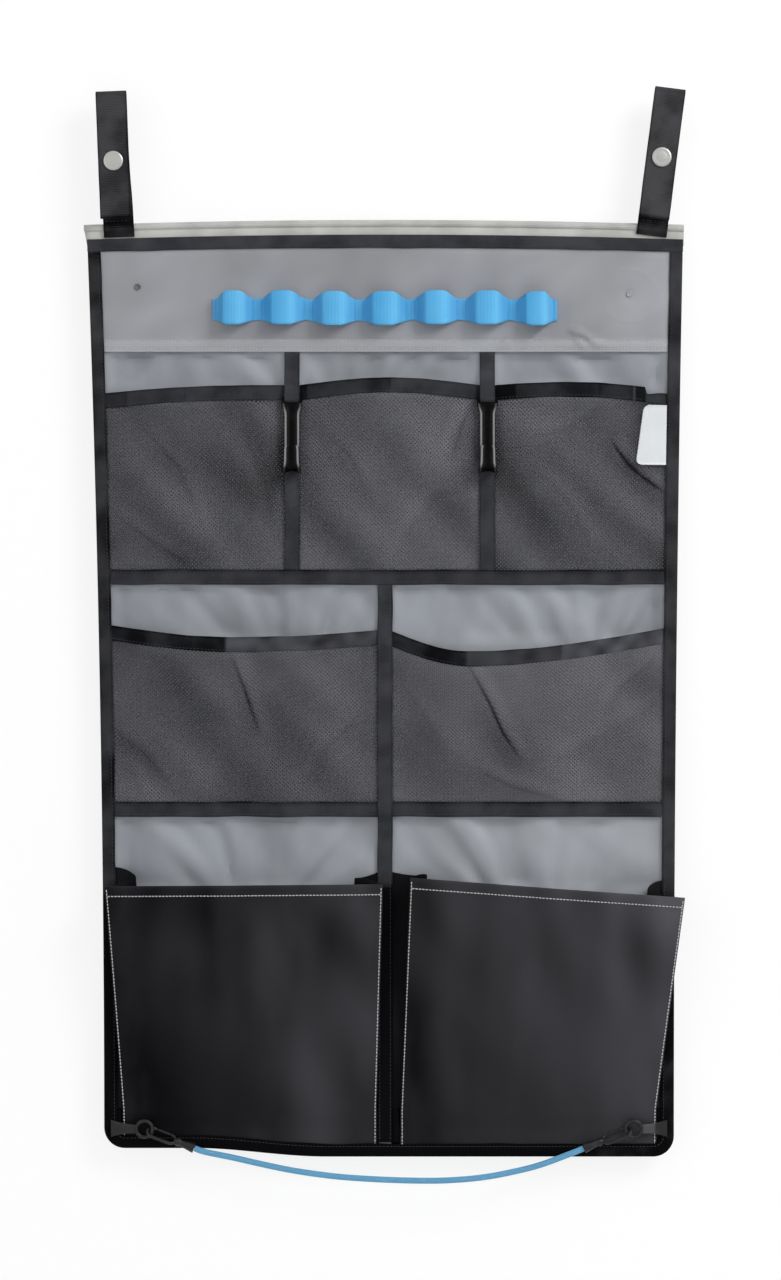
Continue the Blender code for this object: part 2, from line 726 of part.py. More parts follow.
def make_hook_loop(name, x):
    """Tape from under the header's edge, down round the hook's bar and back up."""
    bar = hook_bar_place(x)
    wrap = HOOK_BAR_RADIUS + GAP + LOOP_CLOTH / 2
    pitch = LOOP_CLOTH + GAP
    rear = PANEL_FACE - GAP - LOOP_CLOTH / 2
    bent = bar.y + wrap
    top = Z_HEADER_END - GAP
    shift_top = mix(Z_HEADER_END, Z_UPPER_MOUTH, 0.55)
    shift_end = mix(Z_HEADER_END, Z_UPPER_MOUTH, 0.85)
    path = [(rear, top), (rear, shift_top), (bent, shift_end)]
    turns = 8
    for k in range(turns + 1):
        angle = math.pi * k / turns
        path.append((bar.y + wrap * math.cos(angle), bar.z - wrap * math.sin(angle)))
    pinch = mix(bar.z, shift_end, 0.7)
    path += [(bent - pitch, pinch), (bent - pitch, shift_end),
             (rear - pitch, shift_top), (rear - pitch, top)]
    ribbon(name, path, HOOK_LOOP_WIDTH / 2, LOOP_CLOTH, "black_tape", x)


def rail_section(place, inward, width, depth):
    """The corners of the hook's section: two rails joined by a thin web."""
    a = width / 2
    b = depth / 2
    c = a - HOOK_RAIL
    d = HOOK_WEB / 2
    corners = [(-a, -b), (-c, -b), (-c, -d), (c, -d), (c, -b), (a, -b),
               (a, b), (c, b), (c, d), (-c, d), (-c, b), (-a, b)]
    return [place + Vector((across, 0, 0)) + inward * through for across, through in corners]


def make_hook(name, x):
    """A utensil hook: head frame with a round bar, channelled shank, forward bend and tip."""
    carrier = add_carrier(name + "_axis", Matrix.Translation(hook_bar_place(x)))
    head_width = HOOK_LOOP_WIDTH + 2 * HOOK_SIDE_PLAY + 2 * HOOK_ARM
    slot_end = -(HOOK_BAR_RADIUS + GAP + LOOP_CLOTH + 4 * GAP)
    bend_z = -(HOOK_LENGTH - HOOK_BEND_RADIUS - HOOK_DEPTH / 2)
    forward = Vector((0, -1, 0))
    taper_end = slot_end - 0.6 * HOOK_SHANK_WIDTH
    sections = [(Vector((0, 0, slot_end)), forward, head_width),
                (Vector((0, 0, taper_end)), forward, HOOK_SHANK_WIDTH),
                (Vector((0, 0, bend_z)), forward, HOOK_SHANK_WIDTH)]
    centre = Vector((0, -HOOK_BEND_RADIUS, bend_z))
    turns = 8
    for k in range(1, turns + 1):
        angle = math.pi * k / turns
        inward = Vector((0, -math.cos(angle), math.sin(angle)))
        width = mix(HOOK_SHANK_WIDTH, HOOK_BEND_WIDTH, math.sin(angle))
        sections.append((centre - HOOK_BEND_RADIUS * inward, inward, width))
    tip = Vector((0, -2 * HOOK_BEND_RADIUS - HOOK_TIP_RISE / 10, bend_z + HOOK_TIP_RISE))
    sections.append((tip, Vector((0, 1, 0)), HOOK_TIP_WIDTH))
    body = swept_mesh(name, [rail_section(place, inward, width, HOOK_DEPTH)
                             for place, inward, width in sections])
    hook = add(name, body, "hook_plastic", carrier)

    outer = head_width / 2 - 0.05 * MM
    inner = head_width / 2 - HOOK_ARM
    arm_half_depth = HOOK_DEPTH / 2 - 0.15 * MM
    for side in (-1, 1):
        low = sorted((side * inner, side * outer))
        arm = box_mesh(name + "_arm", (low[0], -arm_half_depth, slot_end - HOOK_RAIL),
                       (low[1], arm_half_depth, HOOK_BAR_RADIUS))
        combine(hook, guide_object(f"{name}_arm_{'left' if side < 0 else 'right'}", arm, carrier),
                "UNION")
    reach = inner + HOOK_ARM / 2
    bar = tube_mesh(name + "_bar", [Vector((-reach, 0, 0)), Vector((reach, 0, 0))], HOOK_BAR_RADIUS)
    combine(hook, guide_object(name + "_bar", bar, carrier), "UNION")


def strap_frame(side):
    """The frame of a strap: its Z runs up the strap from the level of the bead."""
    if side < 0:
        x = left_edge(0.0) + STRAP_INSET_LEFT
        tilt = STRAP_TILT_LEFT
    else:
        x = right_edge(0.0) - STRAP_INSET_RIGHT
        tilt = STRAP_TILT_RIGHT
    return Matrix.Translation((x, 0, 0)) @ Matrix.Rotation(tilt, 4, "Y")


STRAP_REAR_Y = -BEAD_RADIUS - GAP - STRAP_CLOTH / 2
STRAP_FOLD_Y = STRAP_REAR_Y - (STRAP_CLOTH + STRAP_LOOP_GAP) / 2


def make_strap(side):
    """A strap: the leg sewn to the welt, the fold, and the flap that snaps down in front."""
    suffix = "_left" if side < 0 else "_right"
    tilt = abs(STRAP_TILT_LEFT if side < 0 else STRAP_TILT_RIGHT)
    height = STRAP_HEIGHT_LEFT if side < 0 else STRAP_HEIGHT_RIGHT
    fold_z = height - STRAP_CLOTH - STRAP_LOOP_GAP / 2
    frame = strap_frame(side)
    half = STRAP_WIDTH / 2
    nearest = max(abs(frame.translation.x) - half, 0.0)
    droop = bow(nearest, Z_TOP_TAPE)
    base = add_carrier("strap_foot" + suffix, frame)
    hinge = add_carrier("strap_hinge" + suffix,
                        frame @ Matrix.Translation((0, STRAP_FOLD_Y, fold_z)))

    # The sewn leg lies over the bead and comes back against the flange above the top tape.
    tucked_y = -(GAP / 2 + WELT_CLOTH + GAP + STRAP_CLOTH / 2)
    end = Z_TOP_TAPE - droop + GAP + half * math.sin(tilt)
    lowest_bead = -bow(nearest + STRAP_WIDTH, 0.0) - half * math.sin(tilt)
    slope_start = lowest_bead - 0.4 * BEAD_RADIUS
    slope_end = end + GAP
    steps = 6
    path = [(STRAP_REAR_Y, fold_z - GAP), (STRAP_REAR_Y, fold_z / 2)]
    for k in range(steps + 1):
        share = k / steps
        path.append((mix(STRAP_REAR_Y, tucked_y, ease(share)), mix(slope_start, slope_end, share)))
    path.append((tucked_y, end))
    leg = ribbon("strap_leg" + suffix, path, half, STRAP_CLOTH, "webbing", carrier=base)

    turns = 10
    radius = (STRAP_LOOP_GAP + STRAP_CLOTH) / 2
    arc = [(STRAP_FOLD_Y + radius * math.cos(math.pi * k / turns),
            fold_z + radius * math.sin(math.pi * k / turns)) for k in range(turns + 1)]
    ribbon("strap_fold" + suffix, arc, half, STRAP_CLOTH, "webbing", carrier=base)

    length = fold_z - FLAP_END
    path = [(-radius, -GAP), (-radius, -length / 3), (-radius, -2 * length / 3), (-radius, -length)]
    flap = ribbon("strap_flap" + suffix, path, half, STRAP_CLOTH, "webbing", carrier=hinge)

    # The snap goes through both legs: cap and socket on the flap, stud on the leg.
    snap_z = height - SNAP_DROP
    drill = turned_mesh("snap_drill", [(-10 * MM, 0.0), (-10 * MM, SNAP_HOLE_RADIUS),
                                       (10 * MM, SNAP_HOLE_RADIUS), (10 * MM, 0.0)],
                        Matrix.Rotation(math.pi / 2, 4, "X"), steps=16)
    leg_drill = guide_object("leg_drill" + suffix, drill, base)
    leg_drill.location = (0, STRAP_REAR_Y, snap_z)
    flap_drill = guide_object("flap_drill" + suffix, drill, hinge)
    flap_drill.location = (0, -radius, snap_z - fold_z)
    combine(leg, leg_drill, "DIFFERENCE")
    combine(flap, flap_drill, "DIFFERENCE")

    # Distances along the snap's axis run forwards, from the middle of the cloth.
    face = STRAP_CLOTH / 2 + GAP
    turn = Matrix.Rotation(math.pi / 2, 4, "X")
    on_flap = Matrix.Translation((0, -radius, snap_z - fold_z)) @ turn
    dome = [(face + CAP_HEIGHT * math.cos(a), CAP_RADIUS * math.sin(a))
            for a in (math.radians(d) for d in (0, 25, 45, 62, 76))]
    cap = [(-face - SNAP_PLATE / 2, 0.0), (-face - SNAP_PLATE / 2, SNAP_BARREL_RADIUS),
           (face, SNAP_BARREL_RADIUS), (face, CAP_RADIUS)] + dome[::-1]
    add("snap_cap" + suffix, turned_mesh("snap_cap" + suffix, cap, on_flap, 24), "nickel", hinge)

    bore = STUD_RADIUS + 1.5 * GAP
    socket = [(-face, SNAP_HOLE_RADIUS), (-face, SOCKET_RADIUS),
              (-face - 0.7 * SOCKET_DEPTH, SOCKET_RADIUS), (-face - SOCKET_DEPTH, bore + SNAP_PLATE),
              (-face - SOCKET_DEPTH, bore), (-face - SNAP_PLATE, bore),
              (-face - SNAP_PLATE, SNAP_HOLE_RADIUS)]
    add("snap_socket" + suffix, turned_mesh("snap_socket" + suffix, socket, on_flap), "nickel", hinge)

    on_leg = Matrix.Translation((0, STRAP_REAR_Y, snap_z)) @ turn
    inside = STRAP_CLOTH / 2 + STRAP_LOOP_GAP - GAP - SNAP_PLATE - 2 * GAP
    stud = [(-face - SNAP_PLATE, 0.0), (-face - SNAP_PLATE, STUD_REAR_RADIUS),
            (-face, STUD_REAR_RADIUS), (-face, SNAP_BARREL_RADIUS), (face, SNAP_BARREL_RADIUS),
            (face, STUD_BASE_RADIUS), (face + SNAP_PLATE, STUD_BASE_RADIUS),
            (face + SNAP_PLATE, 0.8 * STUD_RADIUS), (inside - 0.5 * STUD_RADIUS, STUD_RADIUS),
            (inside, 0.8 * STUD_RADIUS), (inside, 0.0)]
    add("snap_stud" + suffix, turned_mesh("snap_stud" + suffix, stud, on_leg), "nickel", base)


class DeepPocket:
    """A gusseted pocket: how far its front's corners lie from the edge and the middle divider."""

    def __init__(self, name, side, outer, inner, top):
        self.name = name
        self.side = side
        self.outer_top, self.outer_hinge = outer
        self.inner_top, self.inner_hinge = inner
        self.top_outer, self.top_inner = top

    def edge(self, z):
        return left_edge(z) if self.side < 0 else right_edge(z)

    def outer(self, s):
        """X of the front's outer edge, from the hinge line (0) to the mouth (1)."""
        inset = mix(self.outer_hinge, self.outer_top, s)
        return self.edge(mix(Z_HINGE, Z_DEEP_MOUTH, s)) - self.side * inset

    def inner(self, s):
        return LOWER_DIVIDER + self.side * mix(self.inner_hinge, self.inner_top, s)

    def front(self, u, s):
        """The middle of the front's cloth: u from the outer edge to the inner, s upwards."""
        x = mix(self.outer(s), self.inner(s), u)
        top = Z_DEEP_MOUTH + mix(self.top_outer, self.top_inner, u)
        crown = FRONT_CROWN * math.sin(math.pi * u) * ease(s)
        return Vector((x, mix(HINGE_Y, MOUTH_Y, s) - crown, mix(Z_HINGE, top, s)))

    def pleat(self, is_outer, w, s):
        """The gusset's cloth: w from the panel, in along one leaf and out along the other."""
        z = mix(Z_HINGE + GAP, Z_DEEP_MOUTH, s)
        if is_outer:
            back_x = self.edge(z) - self.side * (BINDING_WIDTH - GUSSET_TUCK)
            front = self.front(0.0, s)
            inwards = -self.side
        else:
            back_x = LOWER_DIVIDER + self.side * (TAPE_WIDTH / 2 - GUSSET_TUCK)
            front = self.front(1.0, s)
            inwards = self.side
        front_x = front.x + inwards * 2 * GAP
        front_y = front.y + FRONT_BACKING
        half_gap = (GUSSET_BACK_Y - front_y) / 2
        depth = math.sqrt(max(PLEAT_DEPTH ** 2 - half_gap ** 2, 0.0))
        power = mix(4.0, 1.2, ease(2 * s))
        x = mix(back_x, front_x, w) + inwards * depth * (1 - abs(2 * w - 1) ** power)
        y = mix(GUSSET_BACK_Y, front_y, w)
        bottom = Z_HINGE + 2 * GAP
        front_top = self.front(0.0 if is_outer else 1.0, 1.0).z
        top = mix(Z_DEEP_MOUTH + GUSSET_RISE, front_top, w)
        return Vector((x, y, mix(bottom, top, s)))

    def make(self):
        columns = 10
        rows = 8
        hinge_x = (self.outer(0.0) + self.inner(0.0)) / 2
        frame = Matrix.Translation((hinge_x, HINGE_Y, Z_HINGE))
        hinge = add_carrier("pocket_hinge_" + self.name, frame)
        sheet("pocket_front_" + self.name, columns, rows,
              lambda i, j: self.front(i / columns, j / rows) - frame.translation,
              FRONT_CLOTH, "vinyl", hinge)

        fold = (0.0, 0.08, 0.25, 0.42, 0.5, 0.58, 0.75, 0.92, 1.0)
        for is_outer, place in ((True, "outer"), (False, "inner")):
            sheet(f"gusset_{self.name}_{place}", len(fold) - 1, rows,
                  lambda i, j, is_outer=is_outer: self.pleat(is_outer, fold[i], j / rows),
                  GUSSET_CLOTH, "vinyl")

        foot_rows = 6

        def foot(i, j):
            x = mix(self.outer(0.0), self.inner(0.0), i / columns)
            end = bottom_edge(x) + PANEL_INSET + GAP
            z = mix(Z_HINGE - GAP, end, j / foot_rows)
            y = mix(HINGE_Y, FACING_Y, ease(2 * j / foot_rows))
            return Vector((x, y, z))

        sheet("pocket_foot_" + self.name, columns, foot_rows, foot, FACING_CLOTH, "vinyl")


DEEP_POCKETS = [
    DeepPocket("left", -1, (3.0 * MM, HINGE_INSET_LEFT), (1.7 * MM, HINGE_SPLIT_LEFT),
               (-1.2 * MM, 0.4 * MM)),
    DeepPocket("right", 1, (-MOUTH_SPREAD_RIGHT, HINGE_INSET_RIGHT),
               (MOUTH_SPLIT_RIGHT, HINGE_SPLIT_RIGHT), (-MOUTH_DROP_RIGHT, 5.7 * MM)),
]

RING_Z = Z_BOTTOM + RING_RISE
RING_Y = TAPE_FACE - GAP - CLIP_BEND_RADIUS * math.sin(CLIP_TWIST) - CLIP_TUBE


def ring_x(side):
    return (left_edge(RING_Z) if side < 0 else right_edge(RING_Z)) - side * RING_INSET


def clip_axes(side):
    """Along the clip from ring to cord, across the clip's loop, and square to the loop."""
    along = Vector((-side * math.cos(CLIP_SLOPE), 0, -math.sin(CLIP_SLOPE)))
    up = Vector((-side * math.sin(CLIP_SLOPE), 0, math.cos(CLIP_SLOPE)))
    across = math.cos(CLIP_TWIST) * up + math.sin(CLIP_TWIST) * Vector((0, 1, 0))
    return along, across, along.cross(across)


def clip_catch(side):
    """Where the clip pulls on the ring's rim: the shock cord swings about the line through both."""
    along, _, _ = clip_axes(side)
    return Vector((ring_x(side), RING_Y, RING_Z)) + RING_RADIUS * along


def make_ring_tab(side):
    """A moulded ring on a flat tab that laps over the side binding."""
    name = "ring_tab_left" if side < 0 else "ring_tab_right"
    x = ring_x(side)
    centre = Vector((x, RING_Y, RING_Z))
    steps = 24
    circle = [centre + RING_RADIUS * Vector((math.cos(math.tau * k / steps), 0,
                                             math.sin(math.tau * k / steps))) for k in range(steps)]
    ring = add(name, tube_mesh(name, circle, RING_TUBE, cyclic=True), "clip_plastic")
    edge = left_edge(RING_Z) if side < 0 else right_edge(RING_Z)
    lap_x = edge - side * (BINDING_WIDTH - TAB_LAP)
    flat_y = TAPE_FACE - GAP - TAB_THICKNESS / 2
    clear_x = edge - side * (BINDING_WIDTH + 1 * MM)
    root_x = x + side * (RING_RADIUS - 0.65 * RING_TUBE)
    rows = [(root_x, RING_Y, 0.51 * TAB_WIDTH), (clear_x, flat_y, 0.9 * TAB_WIDTH),
            (lap_x, flat_y, TAB_WIDTH)]
    outlines = []
    for row_x, y, width in rows:
        low = RING_Z - width / 2
        high = RING_Z + width / 2
        front = y - TAB_THICKNESS / 2
        back = y + TAB_THICKNESS / 2
        outlines.append([Vector((row_x, front, low)), Vector((row_x, back, low)),
                         Vector((row_x, back, high)), Vector((row_x, front, high))])
    combine(ring, guide_object(name + "_plate", swept_mesh(name + "_plate", outlines)), "UNION")


def make_clip(side, carrier, origin):
    """An open hook with a sprung gate across its gap, and a sleeve that grips the cord."""
    suffix = "_left" if side < 0 else "_right"
    along, across, square = clip_axes(side)
    catch = clip_catch(side)
    apex = catch - (RING_TUBE + CLIP_TUBE + CLIP_PLAY) * along
    near = apex + CLIP_BEND_RADIUS * along
    far = near + CLIP_LENGTH * along
    radius = CLIP_BEND_RADIUS
    steps = 8
    turns = [math.pi / 2 - math.pi * k / steps for k in range(steps + 1)]
    points = [far + radius * (math.cos(t) * along + math.sin(t) * across) for t in turns]
    points += [near - radius * across + along * CLIP_LENGTH / 2]
    points += [near + radius * (-math.cos(t) * along - math.sin(t) * across) for t in turns]
    points += [near + radius * across + CLIP_NOSE * along]
    local = [place - origin for place in points]
    name = "clip_body" + suffix
    body = add(name, tube_mesh(name, local, CLIP_TUBE), "clip_plastic", carrier)

    # The gate closes the gap between the nose and the far bend.
    free_end = near + radius * across + (CLIP_NOSE + 2 * GAP) * along
    pivot = far + radius * across - 2 * GATE_TUBE * along
    gate_axis = add_carrier("gate_axis" + suffix, Matrix.Translation(pivot))
    root_end = far + radius * across - 2 * GAP * along
    name = "clip_gate" + suffix
    add(name, tube_mesh(name, [free_end - pivot, root_end - pivot], GATE_TUBE), "clip_plastic",
        gate_axis)

    # The sleeve that grips the cord is moulded in one with the hook.
    foot = far + radius * along
    collar = 1.25 * SLEEVE_NECK_RADIUS
    profile = [(0.0, 0.0), (0.0, SLEEVE_NECK_RADIUS), (0.12 * SLEEVE_LENGTH, collar),
               (0.24 * SLEEVE_LENGTH, collar), (0.32 * SLEEVE_LENGTH, SLEEVE_NECK_RADIUS),
               (0.9 * SLEEVE_LENGTH, SLEEVE_MOUTH_RADIUS), (SLEEVE_LENGTH, SLEEVE_MOUTH_RADIUS),
               (SLEEVE_LENGTH, 0.0)]
    turn = along.to_track_quat("Z", "Y").to_matrix().to_4x4()
    sleeve = turned_mesh("sleeve", profile, Matrix.Translation(foot - origin) @ turn, 16)
    combine(body, guide_object("sleeve" + suffix, sleeve, carrier), "UNION")
    return foot + (SLEEVE_LENGTH + GAP) * along


# The shock cord's route between the sleeves, as (x, z), chosen by eye.
CORD_ROUTE = [
    (-148.5 * MM, -760.0 * MM), (-126.0 * MM, -764.6 * MM), (-103.0 * MM, -769.8 * MM),
    (-80.0 * MM, -774.6 * MM), (-57.0 * MM, -778.2 * MM), (-34.0 * MM, -780.8 * MM),
    (0.0 * MM, -782.9 * MM), (34.0 * MM, -783.7 * MM), (57.0 * MM, -783.0 * MM),
    (80.0 * MM, -780.8 * MM), (103.0 * MM, -776.6 * MM), (126.0 * MM, -770.8 * MM),
    (152.0 * MM, -761.2 * MM),
]


def smooth_route(knots, step):
    """Points along a smooth curve through the knots, evenly spaced at about the step."""
    fine = []
    padded = [2 * knots[0] - knots[1]] + knots + [2 * knots[-1] - knots[-2]]
    for a, b, c, d in zip(padded, padded[1:], padded[2:], padded[3:]):
        for k in range(20):
            t = k / 20
            fine.append(0.5 * ((2 * b) + (c - a) * t + (2 * a - 5 * b + 4 * c - d) * t * t
                               + (3 * b - a - 3 * c + d) * t ** 3))
    fine.append(knots[-1])
    lengths = [0.0]
    for a, b in zip(fine, fine[1:]):
        lengths.append(lengths[-1] + (b - a).length)
    count = max(round(lengths[-1] / step), 2)
    points = []
    place = 0
    for k in range(count + 1):
        target = lengths[-1] * k / count
        while place < len(fine) - 2 and lengths[place + 1] < target:
            place += 1
        share = (target - lengths[place]) / (lengths[place + 1] - lengths[place])
        points.append(fine[place].lerp(fine[place + 1], clamp(share)))
    return points, lengths[-1]


def make_shock_cord():
    """The clips and the cord between them, all carried by one axis through both catches."""
    origin = (clip_catch(-1) + clip_catch(1)) / 2
    carrier = add_carrier("shock_cord_axis", Matrix.Translation(origin))
    start = make_clip(-1, carrier, origin)
    end = make_clip(1, carrier, origin)
    knots = [start] + [Vector((x, RING_Y, z)) for x, z in CORD_ROUTE] + [end]
    points, length = smooth_route(knots, CORD_STEP)
    print(f"shock cord: {length:.4f} m long, {len(points)} points")
    curve = bpy.data.curves.new("shock_cord", "CURVE")
    curve.dimensions = "3D"
    curve.bevel_depth = CORD_DIAMETER / 2
    curve.bevel_resolution = 2
    curve.use_fill_caps = True
    spline = curve.splines.new("POLY")
    spline.points.add(len(points) - 1)
    for knot, place in zip(spline.points, points):
        knot.co = (*(place - origin), 1.0)
    add("shock_cord", curve, "blue_cord", carrier)


def main():
    for item in list(bpy.data.objects):
        bpy.data.objects.remove(item, do_unlink=True)
    make_welt()
    make_top_tapes()
    make_panel()
    make_bindings()
    for pocket in NET_POCKETS:
        pocket.make()
    make_tapes()
    make_tool_band()
    make_header_rivets()
    make_label()
    for suffix, x in (("left", UPPER_DIVIDER_LEFT), ("right", UPPER_DIVIDER_RIGHT)):
        make_hook_loop("hook_loop_" + suffix, x)
        make_hook("utensil_hook_" + suffix, x)
    for side in (-1, 1):
        make_strap(side)
        make_ring_tab(side)
    for pocket in DEEP_POCKETS:
        pocket.make()
    make_shock_cord()


main()
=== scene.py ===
import math

import bmesh
import bpy
from mathutils import Matrix, Vector, noise


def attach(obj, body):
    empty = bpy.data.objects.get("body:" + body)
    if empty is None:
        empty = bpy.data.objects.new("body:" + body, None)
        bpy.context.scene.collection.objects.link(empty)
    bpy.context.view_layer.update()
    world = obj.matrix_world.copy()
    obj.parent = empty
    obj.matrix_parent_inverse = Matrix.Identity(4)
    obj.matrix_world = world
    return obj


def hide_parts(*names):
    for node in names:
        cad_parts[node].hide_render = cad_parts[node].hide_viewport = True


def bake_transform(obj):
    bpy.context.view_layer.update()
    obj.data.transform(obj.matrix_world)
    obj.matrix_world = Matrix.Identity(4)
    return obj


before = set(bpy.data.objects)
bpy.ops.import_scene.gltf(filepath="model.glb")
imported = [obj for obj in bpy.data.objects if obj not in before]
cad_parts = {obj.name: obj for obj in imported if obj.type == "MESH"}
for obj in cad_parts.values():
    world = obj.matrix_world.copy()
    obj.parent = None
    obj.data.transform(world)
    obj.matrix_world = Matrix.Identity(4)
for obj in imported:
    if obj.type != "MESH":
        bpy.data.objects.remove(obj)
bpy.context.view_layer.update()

MM = 0.001
GAP = 0.3 * MM

# Cloth and tape thicknesses.
PANEL_CLOTH = 1.0 * MM
FACING_CLOTH = 1.0 * MM
NET_CLOTH = 0.8 * MM
TAPE_CLOTH = 1.0 * MM
WELT_CLOTH = 0.6 * MM
GUSSET_CLOTH = 0.5 * MM
FRONT_CLOTH = 1.2 * MM
BAND_CLOTH = 1.2 * MM
LOOP_CLOTH = 0.9 * MM
STRAP_CLOTH = 1.3 * MM
LABEL_CLOTH = 1.4 * MM

# Widths, and levels down the panel from the middle of the bead.
BEAD_RADIUS = 3.0 * MM
TAPE_WIDTH = 12.3 * MM
BINDING_WIDTH = 10.8 * MM
TRIM_WIDTH = 12.3 * MM
CORNER_RADIUS = 17.0 * MM
HALF_WIDTH = 245 * MM
Z_TOP_TAPE = -9.4 * MM
Z_HEADER = -20.2 * MM
Z_HEADER_END = -105.5 * MM
Z_UPPER_MOUTH = -132.6 * MM
Z_UPPER_FLOOR = -283.9 * MM
Z_LOWER_MOUTH = -331.9 * MM
Z_LOWER_FLOOR = -474.1 * MM
Z_DEEP_MOUTH = -542.5 * MM
Z_HINGE = -725.5 * MM
Z_BOTTOM = -765.0 * MM
Z_SEAM = -14.4 * MM
UPPER_DIVIDERS = (-77.0 * MM, 83.0 * MM)
LOWER_DIVIDER = -0.8 * MM

# The middle plane of each layer, in Y.
PANEL_FACE = -PANEL_CLOTH / 2
FACING_Y = PANEL_FACE - GAP - FACING_CLOTH / 2
NET_Y = PANEL_FACE - GAP - NET_CLOTH / 2
FACING_FACE = PANEL_FACE - GAP - FACING_CLOTH
TAPE_Y = FACING_FACE - GAP - TAPE_CLOTH / 2
TAPE_FACE = TAPE_Y - TAPE_CLOTH / 2
THREAD_Y = TAPE_FACE - 0.05 * MM
REAR_TAPE_Y = PANEL_CLOTH / 2 + GAP + TAPE_CLOTH / 2
RAISED_TAPE_Y = TAPE_Y - TAPE_CLOTH - GAP
GUSSET_BACK_Y = PANEL_FACE - GAP - GUSSET_CLOTH / 2
HINGE_Y = TAPE_FACE - GAP - FRONT_CLOTH / 2 - 0.1 * MM
MOUTH_Y = PANEL_FACE - 20.0 * MM - FRONT_CLOTH / 2

SIDES = (("left", -1), ("right", 1))
FRONTWARDS = Vector((0, -1, 0))
BACKWARDS = Vector((0, 1, 0))


# ---------------------------------------------------------------- plain maths

def mix(a, b, share):
    """The value at a share of the way from a to b."""
    return a + (b - a) * share


def clamp(value):
    """The value held between 0 and 1."""
    return min(max(value, 0.0), 1.0)


def ease(share):
    """A smooth step from 0 to 1."""
    share = clamp(share)
    return share * share * (3 - 2 * share)


def hump(value, middle, half):
    """1 at the middle, falling smoothly to 0 at half on either side."""
    return 1 - ease(abs(value - middle) / half)


def swirl(x, z, seed, wave):
    """Smooth unevenness from -1 to 1, with humps about one wave apart."""
    return 2 * noise.noise(Vector((x / wave, z / wave, seed)))


def lean(z):
    """How far the sides lean inwards at a height: 0 at the top tape, 1 at the foot."""
    return 1 - (1 - clamp((Z_TOP_TAPE - z) / (Z_TOP_TAPE - Z_BOTTOM))) ** 2


def left_edge(z):
    """X of the panel's left edge at a height."""
    return (-245.0 + 14.0 * lean(z)) * MM


def right_edge(z):
    """X of the panel's right edge at a height."""
    return (243.5 - 7.5 * lean(z)) * MM


def side_edge(side, z):
    """X of the left edge (side is -1) or the right edge (side is 1)."""
    return left_edge(z) if side < 0 else right_edge(z)


def bottom_edge(x):
    """Z of the panel's lower edge, which rises towards the left corner."""
    return Z_BOTTOM + 7.0 * MM * (1 - ease((x / MM + 157.0) / 107.0))


def across(z, share, inset=0.0):
    """X at a share of the way across the panel, counted between points inset from its edges."""
    return mix(left_edge(z) + inset, right_edge(z) - inset, share)


def inside_binding(x, z):
    """How far a point lies inwards of the nearest side's binding."""
    return min(x - left_edge(z), right_edge(z) - x) - BINDING_WIDTH


def droop(x):
    """How far the top edge hangs down at x."""
    return 4.0 * MM * (x / HALF_WIDTH) ** 2


def on_panel(x, y, z):
    """A place on the panel, with the droop of level lines near the top edge."""
    fade = clamp((z - Z_HEADER_END) / (Z_TOP_TAPE - Z_HEADER_END))
    return Vector((x, y, z - droop(x) * fade))


def outline(inset, top=Z_HEADER):
    """The panel's edge moved inwards, as (x, z): down the left, round the foot, up the right."""
    radius = CORNER_RADIUS - inset
    left_x = left_edge(Z_BOTTOM) + CORNER_RADIUS
    right_x = right_edge(Z_BOTTOM) - CORNER_RADIUS
    left_z = bottom_edge(left_x) + CORNER_RADIUS
    right_z = bottom_edge(right_x) + CORNER_RADIUS
    falling = [mix(top, left_z, k / 60) for k in range(60)]
    rising = [mix(right_z, top, k / 60) for k in range(1, 61)]
    points = [(left_edge(z) + inset, z) for z in falling]
    turns = [math.radians(90 * k / 12) for k in range(13)]
    points += [(left_x - radius * math.cos(t), left_z - radius * math.sin(t)) for t in turns]
    for x in (mix(left_x, right_x, k / 48) for k in range(1, 48)):
        points.append((x, bottom_edge(x) + inset))
    points += [(right_x + radius * math.sin(t), right_z - radius * math.cos(t)) for t in turns]
    return points + [(right_edge(z) - inset, z) for z in rising]


def spline(knots, step):
    """Evenly spaced points along a smooth curve through the knots."""
    fine = []
    ends = [2 * knots[0] - knots[1]] + list(knots) + [2 * knots[-1] - knots[-2]]
    for a, b, c, d in zip(ends, ends[1:], ends[2:], ends[3:]):
        for k in range(20):
            t = k / 20
            fine.append(0.5 * ((2 * b) + (c - a) * t + (2 * a - 5 * b + 4 * c - d) * t * t
                               + (3 * b - a - 3 * c + d) * t ** 3))
    return evenly(fine + [knots[-1]], step)


def evenly(points, step):
    """A line's points, evenly spaced at about the step."""
    reached = [0.0]
    for a, b in zip(points, points[1:]):
        reached.append(reached[-1] + (b - a).length)
    count = max(round(reached[-1] / step), 1)
    spaced = []
    place = 0
    for k in range(count + 1):
        target = reached[-1] * k / count
        while place < len(points) - 2 and reached[place + 1] < target:
            place += 1
        share = (target - reached[place]) / max(reached[place + 1] - reached[place], 1e-12)
        spaced.append(points[place].lerp(points[place + 1], clamp(share)))
    return spaced


def length_of(line):
    """The length of a line of points."""
    return sum((b - a).length for a, b in zip(line, line[1:]))


def at(line, share):
    """The line's point at a share of its steps."""
    return line[round(share * (len(line) - 1))]


def near_line(x, z, points):
    """How far a point lies from a line of points, on which side, and its share along it."""
    nearest = (1.0, 1, 0.0)
    runs = [math.hypot(b[0] - a[0], b[1] - a[1]) for a, b in zip(points, points[1:])]
    done = 0.0
    for (ax, az), (bx, bz), run in zip(points, points[1:], runs):
        along = min(max(((x - ax) * (bx - ax) + (z - az) * (bz - az)) / run, 0.0), run)
        off = math.hypot(x - mix(ax, bx, along / run), z - mix(az, bz, along / run))
        side = 1 if (x - ax) * (bz - az) - (z - az) * (bx - ax) > 0 else -1
        if off < nearest[0]:
            nearest = (off, side, (done + along) / sum(runs))
        done += run
    return nearest


